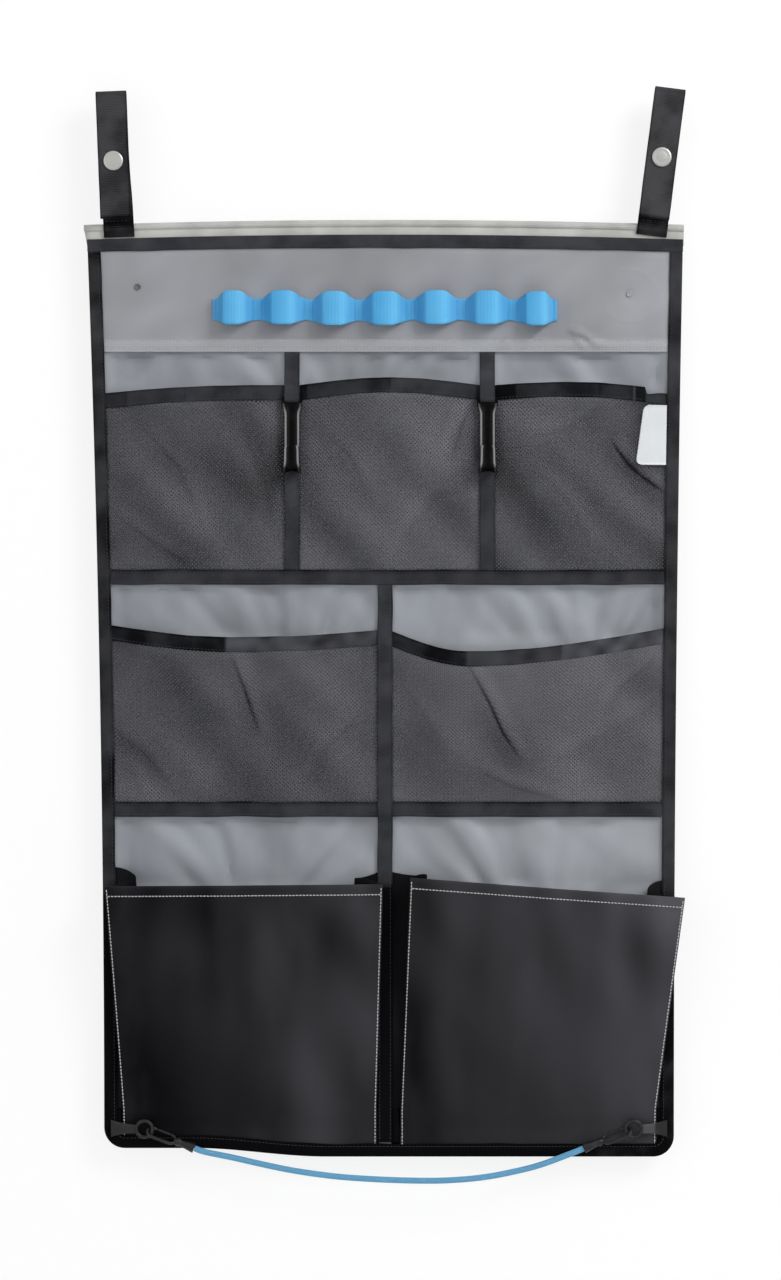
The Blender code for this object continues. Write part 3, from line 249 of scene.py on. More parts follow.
# ------------------------------------------------------------------- finishes

def rgb(red, green, blue):
    """A colour from its sRGB channels, 0 to 255."""
    shares = [c / 255 for c in (red, green, blue)]
    return tuple(s / 12.92 if s <= 0.04045 else ((s + 0.055) / 1.055) ** 2.4 for s in shares) + (1,)


class Value:
    """A node's output, so that shader maths reads as a formula."""

    def __init__(self, graph, socket):
        self.graph = graph
        self.socket = socket

    def maths(self, operation, a, b=0.0):
        return self.graph.add("Math", {"operation": operation}, {0: a, 1: b})

    def __add__(self, other):
        return self.maths("ADD", self, other)

    def __sub__(self, other):
        return self.maths("SUBTRACT", self, other)

    def __mul__(self, other):
        return self.maths("MULTIPLY", self, other)

    def __truediv__(self, other):
        return self.maths("DIVIDE", self, other)

    def __pow__(self, other):
        return self.maths("POWER", self, other)

    def __rsub__(self, other):
        return self.maths("SUBTRACT", other, self)

    __radd__ = __add__
    __rmul__ = __mul__

    def sine(self):
        return self.maths("SINE", self)

    def size(self):
        return self.maths("ABSOLUTE", self)

    def held(self, low, high):
        """0 below low, 1 above high and a ramp between."""
        return self.graph.add("MapRange", {"clamp": True, "interpolation_type": "SMOOTHSTEP"},
                              {0: self, 1: low, 2: high, 3: 0.0, 4: 1.0})


class Graph:
    """A node tree, with one method that adds any node."""

    def __init__(self, tree):
        self.tree = tree

    def put(self, value, socket):
        if isinstance(value, Value):
            self.tree.links.new(value.socket, socket)
        else:
            socket.default_value = value

    def add(self, kind, settings=None, inputs=None, output=0):
        node = self.tree.nodes.new("ShaderNode" + kind)
        for key, value in (settings or {}).items():
            setattr(node, key, value)
        for key, value in (inputs or {}).items():
            self.put(value, node.inputs[key])
        return Value(self, node.outputs[output])

    def seen_ray(self):
        """1 on rays that show the background: camera, glossy and transmission rays."""
        camera, glossy, through = [self.add("LightPath", output=f"Is {kind} Ray")
                                   for kind in ("Camera", "Glossy", "Transmission")]
        return camera.maths("MAXIMUM", camera.maths("MAXIMUM", camera, glossy), through)


class Finish(Graph):
    """A material built round one Principled shader."""

    def __init__(self, name, **sockets):
        self.material = bpy.data.materials.new(name)
        self.material.use_nodes = True
        super().__init__(self.material.node_tree)
        self.shader = self.tree.nodes["Principled BSDF"]
        self.coat(**sockets)

    def place(self, *scale):
        """The place on the object, in metres, stretched along each axis."""
        where = self.add("TexCoord", output="Object")
        if not scale:
            return where
        return self.add("Mapping", {}, {"Vector": where, "Scale": scale})

    def weave(self):
        """How far along the cloth and across it, in millimetres."""
        where = self.add("UVMap", {"uv_map": "weave"})
        return [self.add("SeparateXYZ", inputs={0: where}, output=axis) for axis in ("X", "Y")]

    def shade(self):
        """Paler above 0 and darker below it: mostly painted light and painted shade, with some of
        each piece's own tone.
        """
        return self.add("Attribute", {"attribute_name": "shade"}, output="Fac")

    def speckle(self, where, scale, detail=2.0, rough=0.5):
        return self.add("TexNoise", {}, {"Vector": where, "Scale": scale, "Detail": detail,
                                         "Roughness": rough})

    def tint(self, a, b, share):
        """A colour between a and b."""
        return self.add("Mix", {"data_type": "RGBA"}, {0: share, 6: a, 7: b}, 2)

    def rib(self, along, pitch):
        """A row of round ribs, 0 in the grooves and 1 on the crests."""
        return (along * (math.pi / pitch)).sine().size()

    def coat(self, **sockets):
        for socket, value in sockets.items():
            self.put(value, self.shader.inputs[socket.replace("_", " ")])

    def relief(self, height, depth):
        """Fine relief, depth metres from the bottom to the top of the height."""
        self.coat(Normal=self.add("Bump", {}, {"Strength": 1.0, "Distance": depth,
                                               "Height": height}))


def coated_cloth(name, light, dark, roughness, blotch):
    """Coated cloth with a fine plain weave, soft blotches of reflection painted into its colour,
    and painted light from the shade attribute.
    """
    made = Finish(name, Specular_IOR_Level=0.35, Sheen_Weight=0.08, Sheen_Roughness=0.5)
    along, across = made.weave()
    threads = made.rib(along, 0.55) * made.rib(across, 0.55)
    cloud = made.speckle(made.place(1.0, 1.0, 0.55), blotch, 3.0, 0.55).held(0.36, 0.66)
    grain = made.speckle(made.place(), 900.0, 2.0)
    tone = cloud * 0.8 + grain * 0.25 - threads * 0.1
    plain = made.tint(light, dark, tone)
    # Painted light: the shade attribute mixes the colour towards pale silver.
    made.coat(Base_Color=made.tint(plain, rgb(222, 225, 230), made.shade()),
              Roughness=roughness + cloud * 0.12)
    made.relief(threads * 0.5 + grain * 0.5, 0.08 * MM)
    return made.material


def ribbed_tape(name, light, dark, pitch, width, sheen):
    """Woven tape: ribs across it, a firmer edge on both sides, and a little lint."""
    made = Finish(name, Specular_IOR_Level=0.05, Sheen_Weight=sheen, Sheen_Roughness=0.4)
    along, across = made.weave()
    ribs = made.rib(along, pitch)
    edge = ((across / width) * 2.0 - 1.0).size().held(0.8, 1.0)
    cloud = made.speckle(made.place(), 38.0, 3.0).held(0.3, 0.7)
    lint = made.speckle(made.place(), 1500.0, 1.0).held(0.62, 0.75)
    # The shade attribute adds painted light and shade, with some of each piece's own tone: painted
    # shade low down and between the pockets, in a folded corner and under the strap flaps, paler
    # towards the light.
    tone = ribs * 0.15 + cloud * 0.22 + lint * 0.12 - edge * 0.1 + made.shade() + 0.02
    made.coat(Base_Color=made.tint(dark, light, tone), Roughness=0.9 - ribs * 0.15)
    made.relief(ribs * 0.7 + lint * 0.3 + edge * 0.4, 0.14 * MM)
    return made.material


def welt_finish():
    """The pale ribbed cloth round the bead."""
    made = Finish("pale_ribbed_welt", Specular_IOR_Level=0.3, Sheen_Weight=0.1)
    along, across = made.weave()
    ribs = made.rib(across, 0.52)
    threads = made.rib(along, 0.5)
    cloud = made.speckle(made.place(), 30.0, 3.0).held(0.3, 0.7)
    # Painted shade: the grooves between the ribs are painted darker.
    tone = (1.0 - ribs) * 0.5 + cloud * 0.35 + threads * 0.15
    made.coat(Base_Color=made.tint(rgb(226, 226, 221), rgb(158, 158, 155), tone),
              Roughness=0.75 - ribs * 0.1)
    made.relief(ribs * 0.8 + threads * 0.2, 0.12 * MM)
    return made.material


def net_finish():
    """Dark knitted thread, lighter where it stands up into the light."""
    made = Finish("dark_net_thread", Specular_IOR_Level=0.15, Sheen_Weight=0.08,
                  Sheen_Roughness=0.35)
    along, across = made.weave()
    twist = made.rib(along + across * 0.8, 0.45)
    cloud = made.speckle(made.place(), 22.0, 3.0).held(0.3, 0.72)
    # The shade attribute paints shade into the thread: dark creases, shadow round the hooks, and
    # paler towards the light.
    tone = twist * 0.1 + cloud * 0.1 + 0.04 + made.shade()
    made.coat(Base_Color=made.tint(rgb(24, 24, 28), rgb(152, 151, 158), tone),
              Roughness=0.75 - twist * 0.1)
    made.relief(twist, 0.05 * MM)
    return made.material


def elastic_finish():
    """Blue elastic with upright cords, painted paler on the crests of its ribs and darker in the
    grooves.
    """
    made = Finish("blue_elastic", Specular_IOR_Level=0.3, Sheen_Weight=0.12, Sheen_Roughness=0.4)
    along, across = made.weave()
    cords = made.rib(along, 1.15)
    wraps = made.rib(across, 0.5)
    cloud = made.speckle(made.place(), 60.0, 2.0)
    # Painted light and shade from the shade attribute: paler loop faces towards the light, shadow
    # on their left walls.
    tone = cords * 0.55 + wraps * 0.15 + cloud * 0.3 + made.shade()
    made.coat(Base_Color=made.tint(rgb(52, 150, 212), rgb(112, 202, 252), tone),
              Roughness=0.72 - cords * 0.1)
    made.relief(cords * 0.6 + wraps * 0.4, 0.16 * MM)
    return made.material


def vinyl_finish():
    """Black coated cloth with a faint grain, soft paler and shinier patches and a dull shine."""
    made = Finish("black_coated_cloth", Specular_IOR_Level=0.04)
    along, across = made.weave()
    threads = made.rib(along, 0.6) * made.rib(across, 0.6)
    patch = made.speckle(made.place(1.4, 1.0, 0.6), 11.0, 3.0, 0.6).held(0.42, 0.7)
    grain = made.speckle(made.place(), 1100.0, 2.0)
    # The shade attribute adds painted sheen and shade: the pocket fronts paler towards the light,
    # the pleats' tails darker.
    tone = patch * 0.1 + grain * 0.04 + made.shade()
    made.coat(Base_Color=made.tint(rgb(5, 5, 7), rgb(86, 86, 91), tone),
              Roughness=0.46 - patch * 0.06 + grain * 0.1)
    made.relief(threads * 0.55 + grain * 0.45, 0.07 * MM)
    return made.material


def moulded_plastic(name, light, dark, roughness, shine):
    """Moulded plastic with a fine spark-eroded grain, paler worn places and painted highlights."""
    made = Finish(name, Specular_IOR_Level=shine)
    grain = made.speckle(made.place(), 2600.0, 2.0)
    wear_and_highlight = made.speckle(made.place(), 160.0, 3.0).held(0.45, 0.75)
    plain = made.tint(dark, light, wear_and_highlight * 0.8 + grain * 0.2)
    # Painted highlight: the shade attribute mixes the colour towards pale grey, along the hooks'
    # rails and on the right ring tab.
    made.coat(Base_Color=made.tint(plain, rgb(158, 158, 160), made.shade()),
              Roughness=roughness + grain * 0.12 - wear_and_highlight * 0.06)
    made.relief(grain, 0.03 * MM)
    return made.material


def metal_finish():
    """Dull plated metal with fine turning marks and specks of wear."""
    made = Finish("plated_snap_metal", Metallic=1.0)
    brushed = made.speckle(made.place(60.0, 60.0, 900.0), 6.0, 3.0)
    spots = made.speckle(made.place(), 700.0, 3.0).held(0.6, 0.8)
    made.coat(Base_Color=made.tint(rgb(188, 188, 184), rgb(132, 131, 128),
                                   brushed * 0.6 + spots * 0.12),
              Roughness=0.34 + brushed * 0.12 + spots * 0.05)
    made.relief(brushed, 0.02 * MM)
    return made.material


def label_finish():
    """The bare label's silver."""
    made = Finish("silver_label", Metallic=0.15, Specular_IOR_Level=0.5)
    fine = made.speckle(made.place(400.0, 1.0, 1.0), 8.0, 2.0)
    cloud = made.speckle(made.place(), 60.0, 2.0)
    made.coat(Base_Color=made.tint(rgb(226, 229, 230), rgb(196, 201, 204),
                                   fine * 0.3 + cloud * 0.6),
              Roughness=0.38 + fine * 0.15)
    made.relief(fine, 0.03 * MM)
    return made.material


def cord_finish():
    """A braided sheath: two sets of strands that cross on the slant, with flecks of light."""
    made = Finish("blue_braid", Specular_IOR_Level=0.4, Sheen_Weight=0.1)
    along, across = made.weave()
    one_way = made.rib(along + across * 0.9, 1.5)
    other_way = made.rib(along - across * 0.9, 1.5)
    strands = one_way * other_way
    fleck = made.speckle(made.place(), 420.0, 1.0).held(0.55, 0.7)
    made.coat(Base_Color=made.tint(rgb(78, 148, 194), rgb(132, 204, 240),
                                   strands * 0.8 + fleck * 0.2),
              Roughness=0.55 - strands * 0.12)
    made.relief(strands, 0.25 * MM)
    return made.material


def thread_finish(name, light, dark):
    """Twisted sewing thread."""
    made = Finish(name, Specular_IOR_Level=0.3, Sheen_Weight=0.1)
    fuzz = made.speckle(made.place(), 1800.0, 2.0)
    made.coat(Base_Color=made.tint(dark, light, fuzz), Roughness=0.6 + fuzz * 0.2)
    made.relief(fuzz, 0.05 * MM)
    return made.material


FINISHES = {
    "welt": welt_finish(),
    "header": coated_cloth("header_coated_cloth", rgb(152, 154, 160), rgb(138, 138, 141), 0.5, 9.0),
    "panel": coated_cloth("panel_coated_cloth", rgb(155, 160, 167), rgb(135, 138, 144), 0.42, 16.0),
    "tape": ribbed_tape("black_tape", rgb(96, 97, 103), rgb(8, 9, 12), 0.75, 11.5, 0.01),
    "binding": ribbed_tape("binding_tape", rgb(94, 95, 99), rgb(6, 6, 8), 0.75, 24.5, 0.01),
    "webbing": ribbed_tape("strap_webbing", rgb(108, 108, 112), rgb(10, 10, 12), 1.1, 25.0, 0.04),
    "net": net_finish(),
    "elastic": elastic_finish(),
    "vinyl": vinyl_finish(),
    "hook": moulded_plastic("black_hook_plastic", rgb(14, 14, 16), rgb(2, 2, 3), 0.34, 0.05),
    "clip": moulded_plastic("grey_clip_plastic", rgb(40, 40, 43), rgb(18, 18, 20), 0.32, 0.3),
    # The rivets are one kind: the left one is painted darker, as painted shade, and the right one
    # paler, as painted light.
    "rivet_left": moulded_plastic("rivet_painted_shade", rgb(116, 117, 121), rgb(80, 81, 85),
                                  0.5, 0.2),
    "rivet_right": moulded_plastic("rivet_painted_light", rgb(196, 198, 203), rgb(150, 152, 157),
                                   0.4, 0.5),
    "metal": metal_finish(),
    "label": label_finish(),
    "cord": cord_finish(),
    "pale_thread": thread_finish("pale_grey_thread", rgb(214, 214, 216), rgb(170, 170, 173)),
    "dark_thread": thread_finish("dark_thread", rgb(70, 71, 75), rgb(38, 39, 42)),
    "blue_thread": thread_finish("blue_thread", rgb(80, 170, 225), rgb(40, 130, 190)),
}


# -------------------------------------------------------------- making pieces

def show(name, builder, finish):
    """The builder's mesh as an object of the scene, in its material."""
    mesh = bpy.data.meshes.new(name)
    builder.to_mesh(mesh)
    builder.free()
    mesh.materials.append(finish)
    piece = bpy.data.objects.new(name, mesh)
    bpy.context.scene.collection.objects.link(piece)
    return piece


def settle(name, builder, finish, body, slot=None, nodes=(), sharp=35):
    """The finished piece: its mesh, finish, body and the CAD nodes it stands for; its slot is not
    used.
    """
    piece = show(name, builder, FINISHES[finish])
    piece.data.shade_smooth()
    piece.data.set_sharp_from_angle(angle=math.radians(sharp))
    if body:
        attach(piece, body)
    if nodes:
        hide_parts(*nodes)
    return piece


def add_part(builder, other):
    """Adds another closed part to a piece."""
    mesh = bpy.data.meshes.new("part")
    other.to_mesh(mesh)
    other.free()
    builder.from_mesh(mesh)
    bpy.data.meshes.remove(mesh)


def repaint(node, finish):
    """Gives a CAD node that stays in sight its finish."""
    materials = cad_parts[node].data.materials
    materials.clear()
    materials.append(FINISHES[finish])


def bend_grid(columns, rows, place, size, round_up=False, ends=False, shade=None):
    """A flat grid bent so that place(u, v) is each point; round_up joins its long edges.

    The weave map holds how far each point lies along and across, in millimetres.
    """
    builder = bmesh.new()
    weave = builder.loops.layers.uv.new("weave")
    tone = builder.verts.layers.float.new("shade")
    bmesh.ops.create_grid(builder, x_segments=columns, y_segments=rows, size=0.5)
    for face in builder.faces:
        for loop in face.loops:
            loop[weave].uv = ((loop.vert.co.x + 0.5) * size[0] / MM,
                              (loop.vert.co.y + 0.5) * size[1] / MM)
    for corner in builder.verts:
        u, v = corner.co.x + 0.5, corner.co.y + 0.5
        corner[tone] = shade(u, v) if shade else 0.0
        corner.co = place(u, v)
    if round_up:
        bmesh.ops.remove_doubles(builder, verts=builder.verts, dist=0.002 * MM)
        if ends:
            rims = [edge for edge in builder.edges if edge.is_boundary]
            bmesh.ops.holes_fill(builder, edges=rims, sides=0)
        bmesh.ops.recalc_face_normals(builder, faces=builder.faces)
    return builder


def thicken(piece, thickness, soften=0.3, even=True):
    """Cloth thickness on both sides of the sheet, with its cut edges rounded.

    A piece with a sharp fold in it isn't evened, because the fold would throw spikes.
    """
    solid = piece.modifiers.new("thickness", "SOLIDIFY")
    solid.thickness = thickness
    solid.offset = 0.0
    solid.use_even_offset = even
    if soften:
        edge = piece.modifiers.new("soft_edge", "BEVEL")
        edge.width = soften * thickness
        edge.segments = 2
        edge.limit_method = "ANGLE"
        edge.angle_limit = math.radians(60)
    return piece


def cloth(name, columns, rows, place, size, thickness, finish, body, **about):
    """A thickened sheet."""
    builder = bend_grid(columns, rows, place, size, shade=about.pop("shade", None))
    soften = about.pop("soften", 0.3)
    return thicken(settle(name, builder, finish, body, **about), thickness, soften)


def ring_frame(path, k):
    """Two directions square to a path at point k."""
    before = path[max(k - 1, 0)]
    after = path[min(k + 1, len(path) - 1)]
    ahead = (after - before).normalized()
    side = ahead.cross(BACKWARDS)
    side = ahead.cross(Vector((0, 0, 1))) if side.length < 0.2 else side
    side.normalize()
    return side, ahead.cross(side)


def tube(path, radius, sides=14, closed=False):
    """A round bar along a path; radius is one number or one for each point."""
    count = len(path)
    radii = radius if isinstance(radius, list) else [radius] * count
    rings = []
    for k in range(count):
        if closed:
            ahead = (path[(k + 1) % count] - path[k - 1]).normalized()
            side = ahead.cross(BACKWARDS).normalized()
            rings.append((side, ahead.cross(side)))
        else:
            rings.append(ring_frame(path, k))
    steps = count if closed else count - 1

    def place(u, v):
        k = round(u * steps) % count
        one, two = rings[k]
        turn = math.tau * v
        return path[k] + radii[k] * (math.cos(turn) * one + math.sin(turn) * two)

    size = (length_of(path), math.tau * radii[0])
    return bend_grid(steps, sides, place, size, True, not closed)


def turned(profile, matrix, steps=48):
    """A solid turned about the matrix's Z from (distance, radius) points in millimetres."""
    builder = bmesh.new()
    ring = [builder.verts.new((radius * MM, 0.0, distance * MM)) for distance, radius in profile]
    edges = [builder.edges.new(pair) for pair in zip(ring, ring[1:])]
    bmesh.ops.spin(builder, geom=ring + edges, cent=(0, 0, 0), axis=(0, 0, 1), dvec=(0, 0, 0),
                   angle=math.tau, steps=steps, use_merge=True)
    bmesh.ops.remove_doubles(builder, verts=builder.verts, dist=0.002 * MM)
    builder.transform(matrix)
    bmesh.ops.recalc_face_normals(builder, faces=builder.faces)
    return builder


def stitches(name, rows, finish, body, outward=FRONTWARDS, pitch=3.0, length=2.3, girth=0.5):
    """Sewing thread along rows of points: one small bead of thread for each stitch."""
    builder = bmesh.new()
    builder.loops.layers.uv.new("weave")
    for row in rows:
        spots = evenly(row, pitch * MM)
        for k, (a, b) in enumerate(zip(spots, spots[1:])):
            ahead = (b - a).normalized()
            out = outward(a.lerp(b, 0.5)) if callable(outward) else outward
            across = out.cross(ahead).normalized()
            out = ahead.cross(across)
            turn = Matrix((ahead, across, out)).transposed().to_4x4()
            scale = Matrix.Diagonal((length / 2 * MM, girth / 2 * MM, girth / 2 * MM, 1))
            tip = Matrix.Rotation(math.radians(4 * (-1) ** k), 4, "Z")
            bmesh.ops.create_icosphere(
                builder, subdivisions=1, radius=1.0,
                matrix=Matrix.Translation(a.lerp(b, 0.5)) @ turn @ tip @ scale)
    return settle(name, builder, finish, body, sharp=80)


# ----------------------------------------------------------- camera and stage

def make_camera():
    """Straight on, at the height of the panel's middle."""
    data = bpy.data.cameras.new("camera")
    data.sensor_fit = "VERTICAL"
    distance = 3.0
    seen_height = 1.0496
    data.angle_y = 2 * math.atan(seen_height / 2 / distance)
    camera = bpy.data.objects.new("camera", data)
    camera.location = (0.0037, -distance, -0.3415)
    camera.rotation_euler = (math.pi / 2, 0, 0)
    bpy.context.scene.collection.objects.link(camera)
    bpy.context.scene.camera = camera


def background_finish(name, unseen, **paint):
    """White, with the object's shadow, to rays that show it from the front; unseen to others."""
    made = Finish(name)
    made.tree.nodes.remove(made.shader)
    grey = made.add("BsdfDiffuse", inputs={"Color": (0.25, 0.25, 0.25, 1)})
    glow = made.add("Emission", inputs={"Strength": 0.78})
    lit = made.add("AddShader", inputs={0: grey, 1: glow})
    front = made.seen_ray() - made.add("NewGeometry", output="Backfacing")
    chosen = made.add("MixShader", inputs={0: front, 1: made.add(unseen, inputs=paint), 2: lit})
    made.put(chosen, made.tree.nodes["Material Output"].inputs["Surface"])
    return made.material


def make_stage():
    """A white wall close behind that shows only from the front, and a pale floor below."""
    wall = background_finish("backdrop_white", "BsdfTransparent")
    ground = background_finish("floor_white", "BsdfDiffuse", Color=(0.8, 0.8, 0.8, 1))
    upright = Matrix.Translation((0, 0.016, -0.3)) @ Matrix.Rotation(math.pi / 2, 4, "X")
    for name, finish, matrix in (("backdrop", wall, upright),
                                 ("floor", ground, Matrix.Translation((0, 0, -1.3)))):
        builder = bmesh.new()
        bmesh.ops.create_grid(builder, x_segments=1, y_segments=1, size=6.0, matrix=matrix)
        show(name, builder, finish)


def make_lights():
    """A large soft key from the upper right, a weak fill from the left and a soft rear light."""
    for name, place, size, power in (("key", (1.65, -1.55, 1.15), 1.2, 33.0),
                                     ("fill", (-1.9, -2.1, 0.1), 1.8, 6.5),
                                     ("rear", (-0.9, 2.3, 0.9), 1.8, 30.0)):
        data = bpy.data.lights.new(name, "AREA")
        data.shape = "DISK"
        data.size = size
        data.energy = power
        lamp = bpy.data.objects.new(name, data)
        lamp.location = place
        aim = Vector((0, 0, -0.35)) - lamp.location
        lamp.rotation_euler = aim.to_track_quat("-Z", "Y").to_euler()
        bpy.context.scene.collection.objects.link(lamp)

    world = bpy.data.worlds.new("studio")
    bpy.context.scene.world = world
    world.use_nodes = True
    graph = Graph(world.node_tree)
    around = graph.tree.nodes["Background"]
    around.inputs["Color"].default_value = (1, 1, 1, 1)
    strength = graph.add("MapRange", inputs={0: graph.seen_ray(), 3: 0.55, 4: 1.0})
    graph.put(strength, around.inputs["Strength"])


# ------------------------------------------------------------ shock cord, clips

RING_Z = Z_BOTTOM + 23.6 * MM
CLIP_TWIST = math.radians(48.0)
CLIP_SLOPE = math.radians(21.0)
CLIP_BEND = 4.6 * MM
CLIP_TUBE = 1.25 * MM
CLIP_LENGTH = 15.0 * MM
RING_RADIUS = 6.6 * MM
RING_TUBE = 1.5 * MM
SLEEVE = 16.7 * MM
CORD_WIDTH = 5.0 * MM
RING_Y = TAPE_FACE - GAP - CLIP_BEND * math.sin(CLIP_TWIST) - CLIP_TUBE

# The cord's route between its sleeves, as (x, z) in metres.
CORD_ROUTE = [
    (-0.1485, -0.7600), (-0.1260, -0.7646), (-0.1030, -0.7698), (-0.0800, -0.7746),
    (-0.0570, -0.7782), (-0.0340, -0.7808), (0.0, -0.7829), (0.0340, -0.7837),
    (0.0570, -0.7830), (0.0800, -0.7808), (0.1030, -0.7766), (0.1260, -0.7708),
    (0.1520, -0.7612),
]


def ring_middle(side):
    """The middle of a lower corner's ring."""
    return Vector((side_edge(side, RING_Z) - side * 33.4 * MM, RING_Y, RING_Z))


def clip_axes(side):
    """Along the clip from ring to cord, and across its loop."""
    along = Vector((-side * math.cos(CLIP_SLOPE), 0, -math.sin(CLIP_SLOPE)))
    up = Vector((-side * math.sin(CLIP_SLOPE), 0, math.cos(CLIP_SLOPE)))
    return along, math.cos(CLIP_TWIST) * up + math.sin(CLIP_TWIST) * BACKWARDS


def make_clip(word, side):
    """The open hook on the ring with its sprung gate, and the sleeve that grips the cord."""
    along, across = clip_axes(side)
    catch = ring_middle(side) + RING_RADIUS * along
    near = catch + (CLIP_BEND - RING_TUBE - CLIP_TUBE - 1.1 * MM) * along
    far = near + CLIP_LENGTH * along
    bend = [math.pi / 2 - math.pi * k / 16 for k in range(17)]
    line = [far + CLIP_BEND * (math.cos(t) * along + math.sin(t) * across) for t in bend]
    line += [near - CLIP_BEND * across + along * CLIP_LENGTH * k / 4 for k in (3, 2, 1)]
    line += [near + CLIP_BEND * (-math.cos(t) * along - math.sin(t) * across) for t in bend]
    line += [near + CLIP_BEND * across + 2.5 * MM * along]
    radii = [CLIP_TUBE] * (len(line) - 3) + [1.1 * CLIP_TUBE, 1.15 * CLIP_TUBE, 0.8 * CLIP_TUBE]
    builder = tube(line, radii, 14)
    foot = far + CLIP_BEND * along
    profile = [(-1.2, 0.0), (-1.0, 1.6), (0.2, 2.5), (1.6, 3.3), (2.6, 3.45), (3.8, 3.3),
               (4.6, 2.8), (5.4, 2.65), (6.2, 2.8), (6.8, 2.95), (7.4, 2.9), (8.2, 3.0),
               (8.8, 3.25), (9.4, 3.2), (10.2, 3.35), (10.8, 3.6), (11.4, 3.55), (13.0, 3.8),
               (15.2, 4.1), (16.2, 4.2), (16.7, 3.9), (16.7, 2.6), (15.9, 0.0)]
    turn = along.to_track_quat("Z", "Y").to_matrix().to_4x4()
    add_part(builder, turned(profile, Matrix.Translation(foot) @ turn, 32))
    body = settle("clip_hook_" + word, builder, "clip", "shock_cord", "clip_plastic",
                  ["clip_body_" + word])

    start = near + CLIP_BEND * across + (2.5 * MM + 2 * GAP) * along
    end = far + CLIP_BEND * across - 2 * GAP * along
    gate_line = [start.lerp(end, k / 10) for k in range(11)]
    radii = [0.75 * MM] + [1.0 * MM] * 9 + [0.8 * MM]
    gate = settle("sprung_gate_" + word, tube(gate_line, radii, 12), "clip", "clip_gate_" + word,
                  "clip_plastic", ["clip_gate_" + word])
    return foot + (SLEEVE + GAP) * along, [body, gate]


def make_shock_cord():
    """The blue cord on its route between the sleeves, and both clips."""
    start, left_pieces = make_clip("left", -1)
    end, right_pieces = make_clip("right", 1)
    knots = [start] + [Vector((x, RING_Y, z)) for x, z in CORD_ROUTE] + [end]
    line = spline(knots, 4 * MM)
    cord = settle("blue_shock_cord", tube(line, CORD_WIDTH / 2, 20), "cord", "shock_cord",
                  "blue_cord", ["shock_cord"])
    tuple(start)
    length_of(line)
    [tuple(p) for p in line]
    left_pieces + right_pieces


def make_ring_tab(word, side):
    """A moulded ring whose tab flares out to the binding it is sewn to."""
    centre = ring_middle(side)
    circle = [centre + RING_RADIUS * Vector((math.cos(math.tau * k / 40), 0,
                                             math.sin(math.tau * k / 40))) for k in range(40)]
    builder = tube(circle, RING_TUBE, 14, True)
    edge = side_edge(side, RING_Z)
    root_x = centre.x + side * (RING_RADIUS - 0.65 * RING_TUBE)
    far_x = edge - side * (BINDING_WIDTH - 5.0 * MM)
    flat_y = TAPE_FACE - GAP - 0.8 * MM

    def place(u, v):
        share = ease(u / 0.7)
        half = mix(3.6, 7.0, u ** 2.2) * MM
        turn = math.tau * v
        flat = math.copysign(abs(math.cos(turn)) ** 0.35, math.cos(turn))
        thick = math.copysign(abs(math.sin(turn)) ** 0.5, math.sin(turn))
        y = mix(centre.y, flat_y, share)
        return Vector((mix(root_x, far_x, u), y + 0.8 * MM * thick, centre.z + half * flat))

    def shade(u, v):
        """The right tab catches some light where it starts, the left one lies in shadow."""
        return 0.22 * (1 - ease((u - 0.5) * 8)) - 0.06 if side > 0 else -0.24

    add_part(builder, bend_grid(24, 40, place, (18 * MM, 30 * MM), True, True, shade))
    settle("tab_ring_" + word, builder, "clip", "panel", "clip_plastic", ["ring_tab_" + word])


# --------------------------------------------------------- welt, straps, snaps

def make_welt():
    """Ribbed cloth wrapped round the bead and sewn together below it as a flange."""
    neck = (GAP + WELT_CLOTH) / 2
    wrap = BEAD_RADIUS - WELT_CLOTH / 2
    opening = math.asin(neck / wrap)
    line = [Vector((0, -neck, mix(Z_SEAM, -wrap * 1.02, k / 24))) for k in range(24)]
    for k in range(97):
        angle = -math.pi / 2 - opening - k / 96 * (math.tau - 2 * opening)
        ribbed = wrap - 0.14 * MM * (0.5 + 0.5 * math.cos(k * math.tau / 8))
        line.append(Vector((0, ribbed * math.cos(angle), ribbed * math.sin(angle))))
    line += [Vector((0, neck, mix(-wrap * 1.02, Z_SEAM, k / 24))) for k in range(1, 25)]
    reach = length_of(line)

    def place(u, v):
        bend = at(line, v)
        x = mix(left_edge(0) - 2.6 * MM, right_edge(0) + 0.6 * MM, u)
        cut = 2.6 * MM * clamp(bend.z / Z_SEAM) * (1 - u) ** 40
        roll = 0.12 * MM * swirl(x, 0.0, 4.0, 40 * MM)
        return on_panel(x + cut, bend.y + roll * (bend.z > -4 * MM), bend.z)

    flat = (0.4885, reach)
    welt = cloth("ribbed_welt", 90, len(line) - 1, place, flat, WELT_CLOTH, "welt", "panel",
                 slot="welt", nodes=["keder_welt"], soften=0.0)


STRAP_INSETS = {"left": 24.2 * MM, "right": 24.9 * MM}
STRAP_TILTS = {"left": math.radians(-2.25), "right": math.radians(7.3)}
STRAP_WIDTH = 25.0 * MM
STRAP_REAR_Y = -BEAD_RADIUS - GAP - STRAP_CLOTH / 2
STRAP_BOW = (STRAP_CLOTH + 5.4 * MM) / 2
STRAP_FOLD_Y = STRAP_REAR_Y - STRAP_BOW
STRAP_HEIGHTS = {"left": 107.6 * MM, "right": 111.0 * MM}
FLAP_END = 3.0 * MM
SNAP_DROP = 57.5 * MM


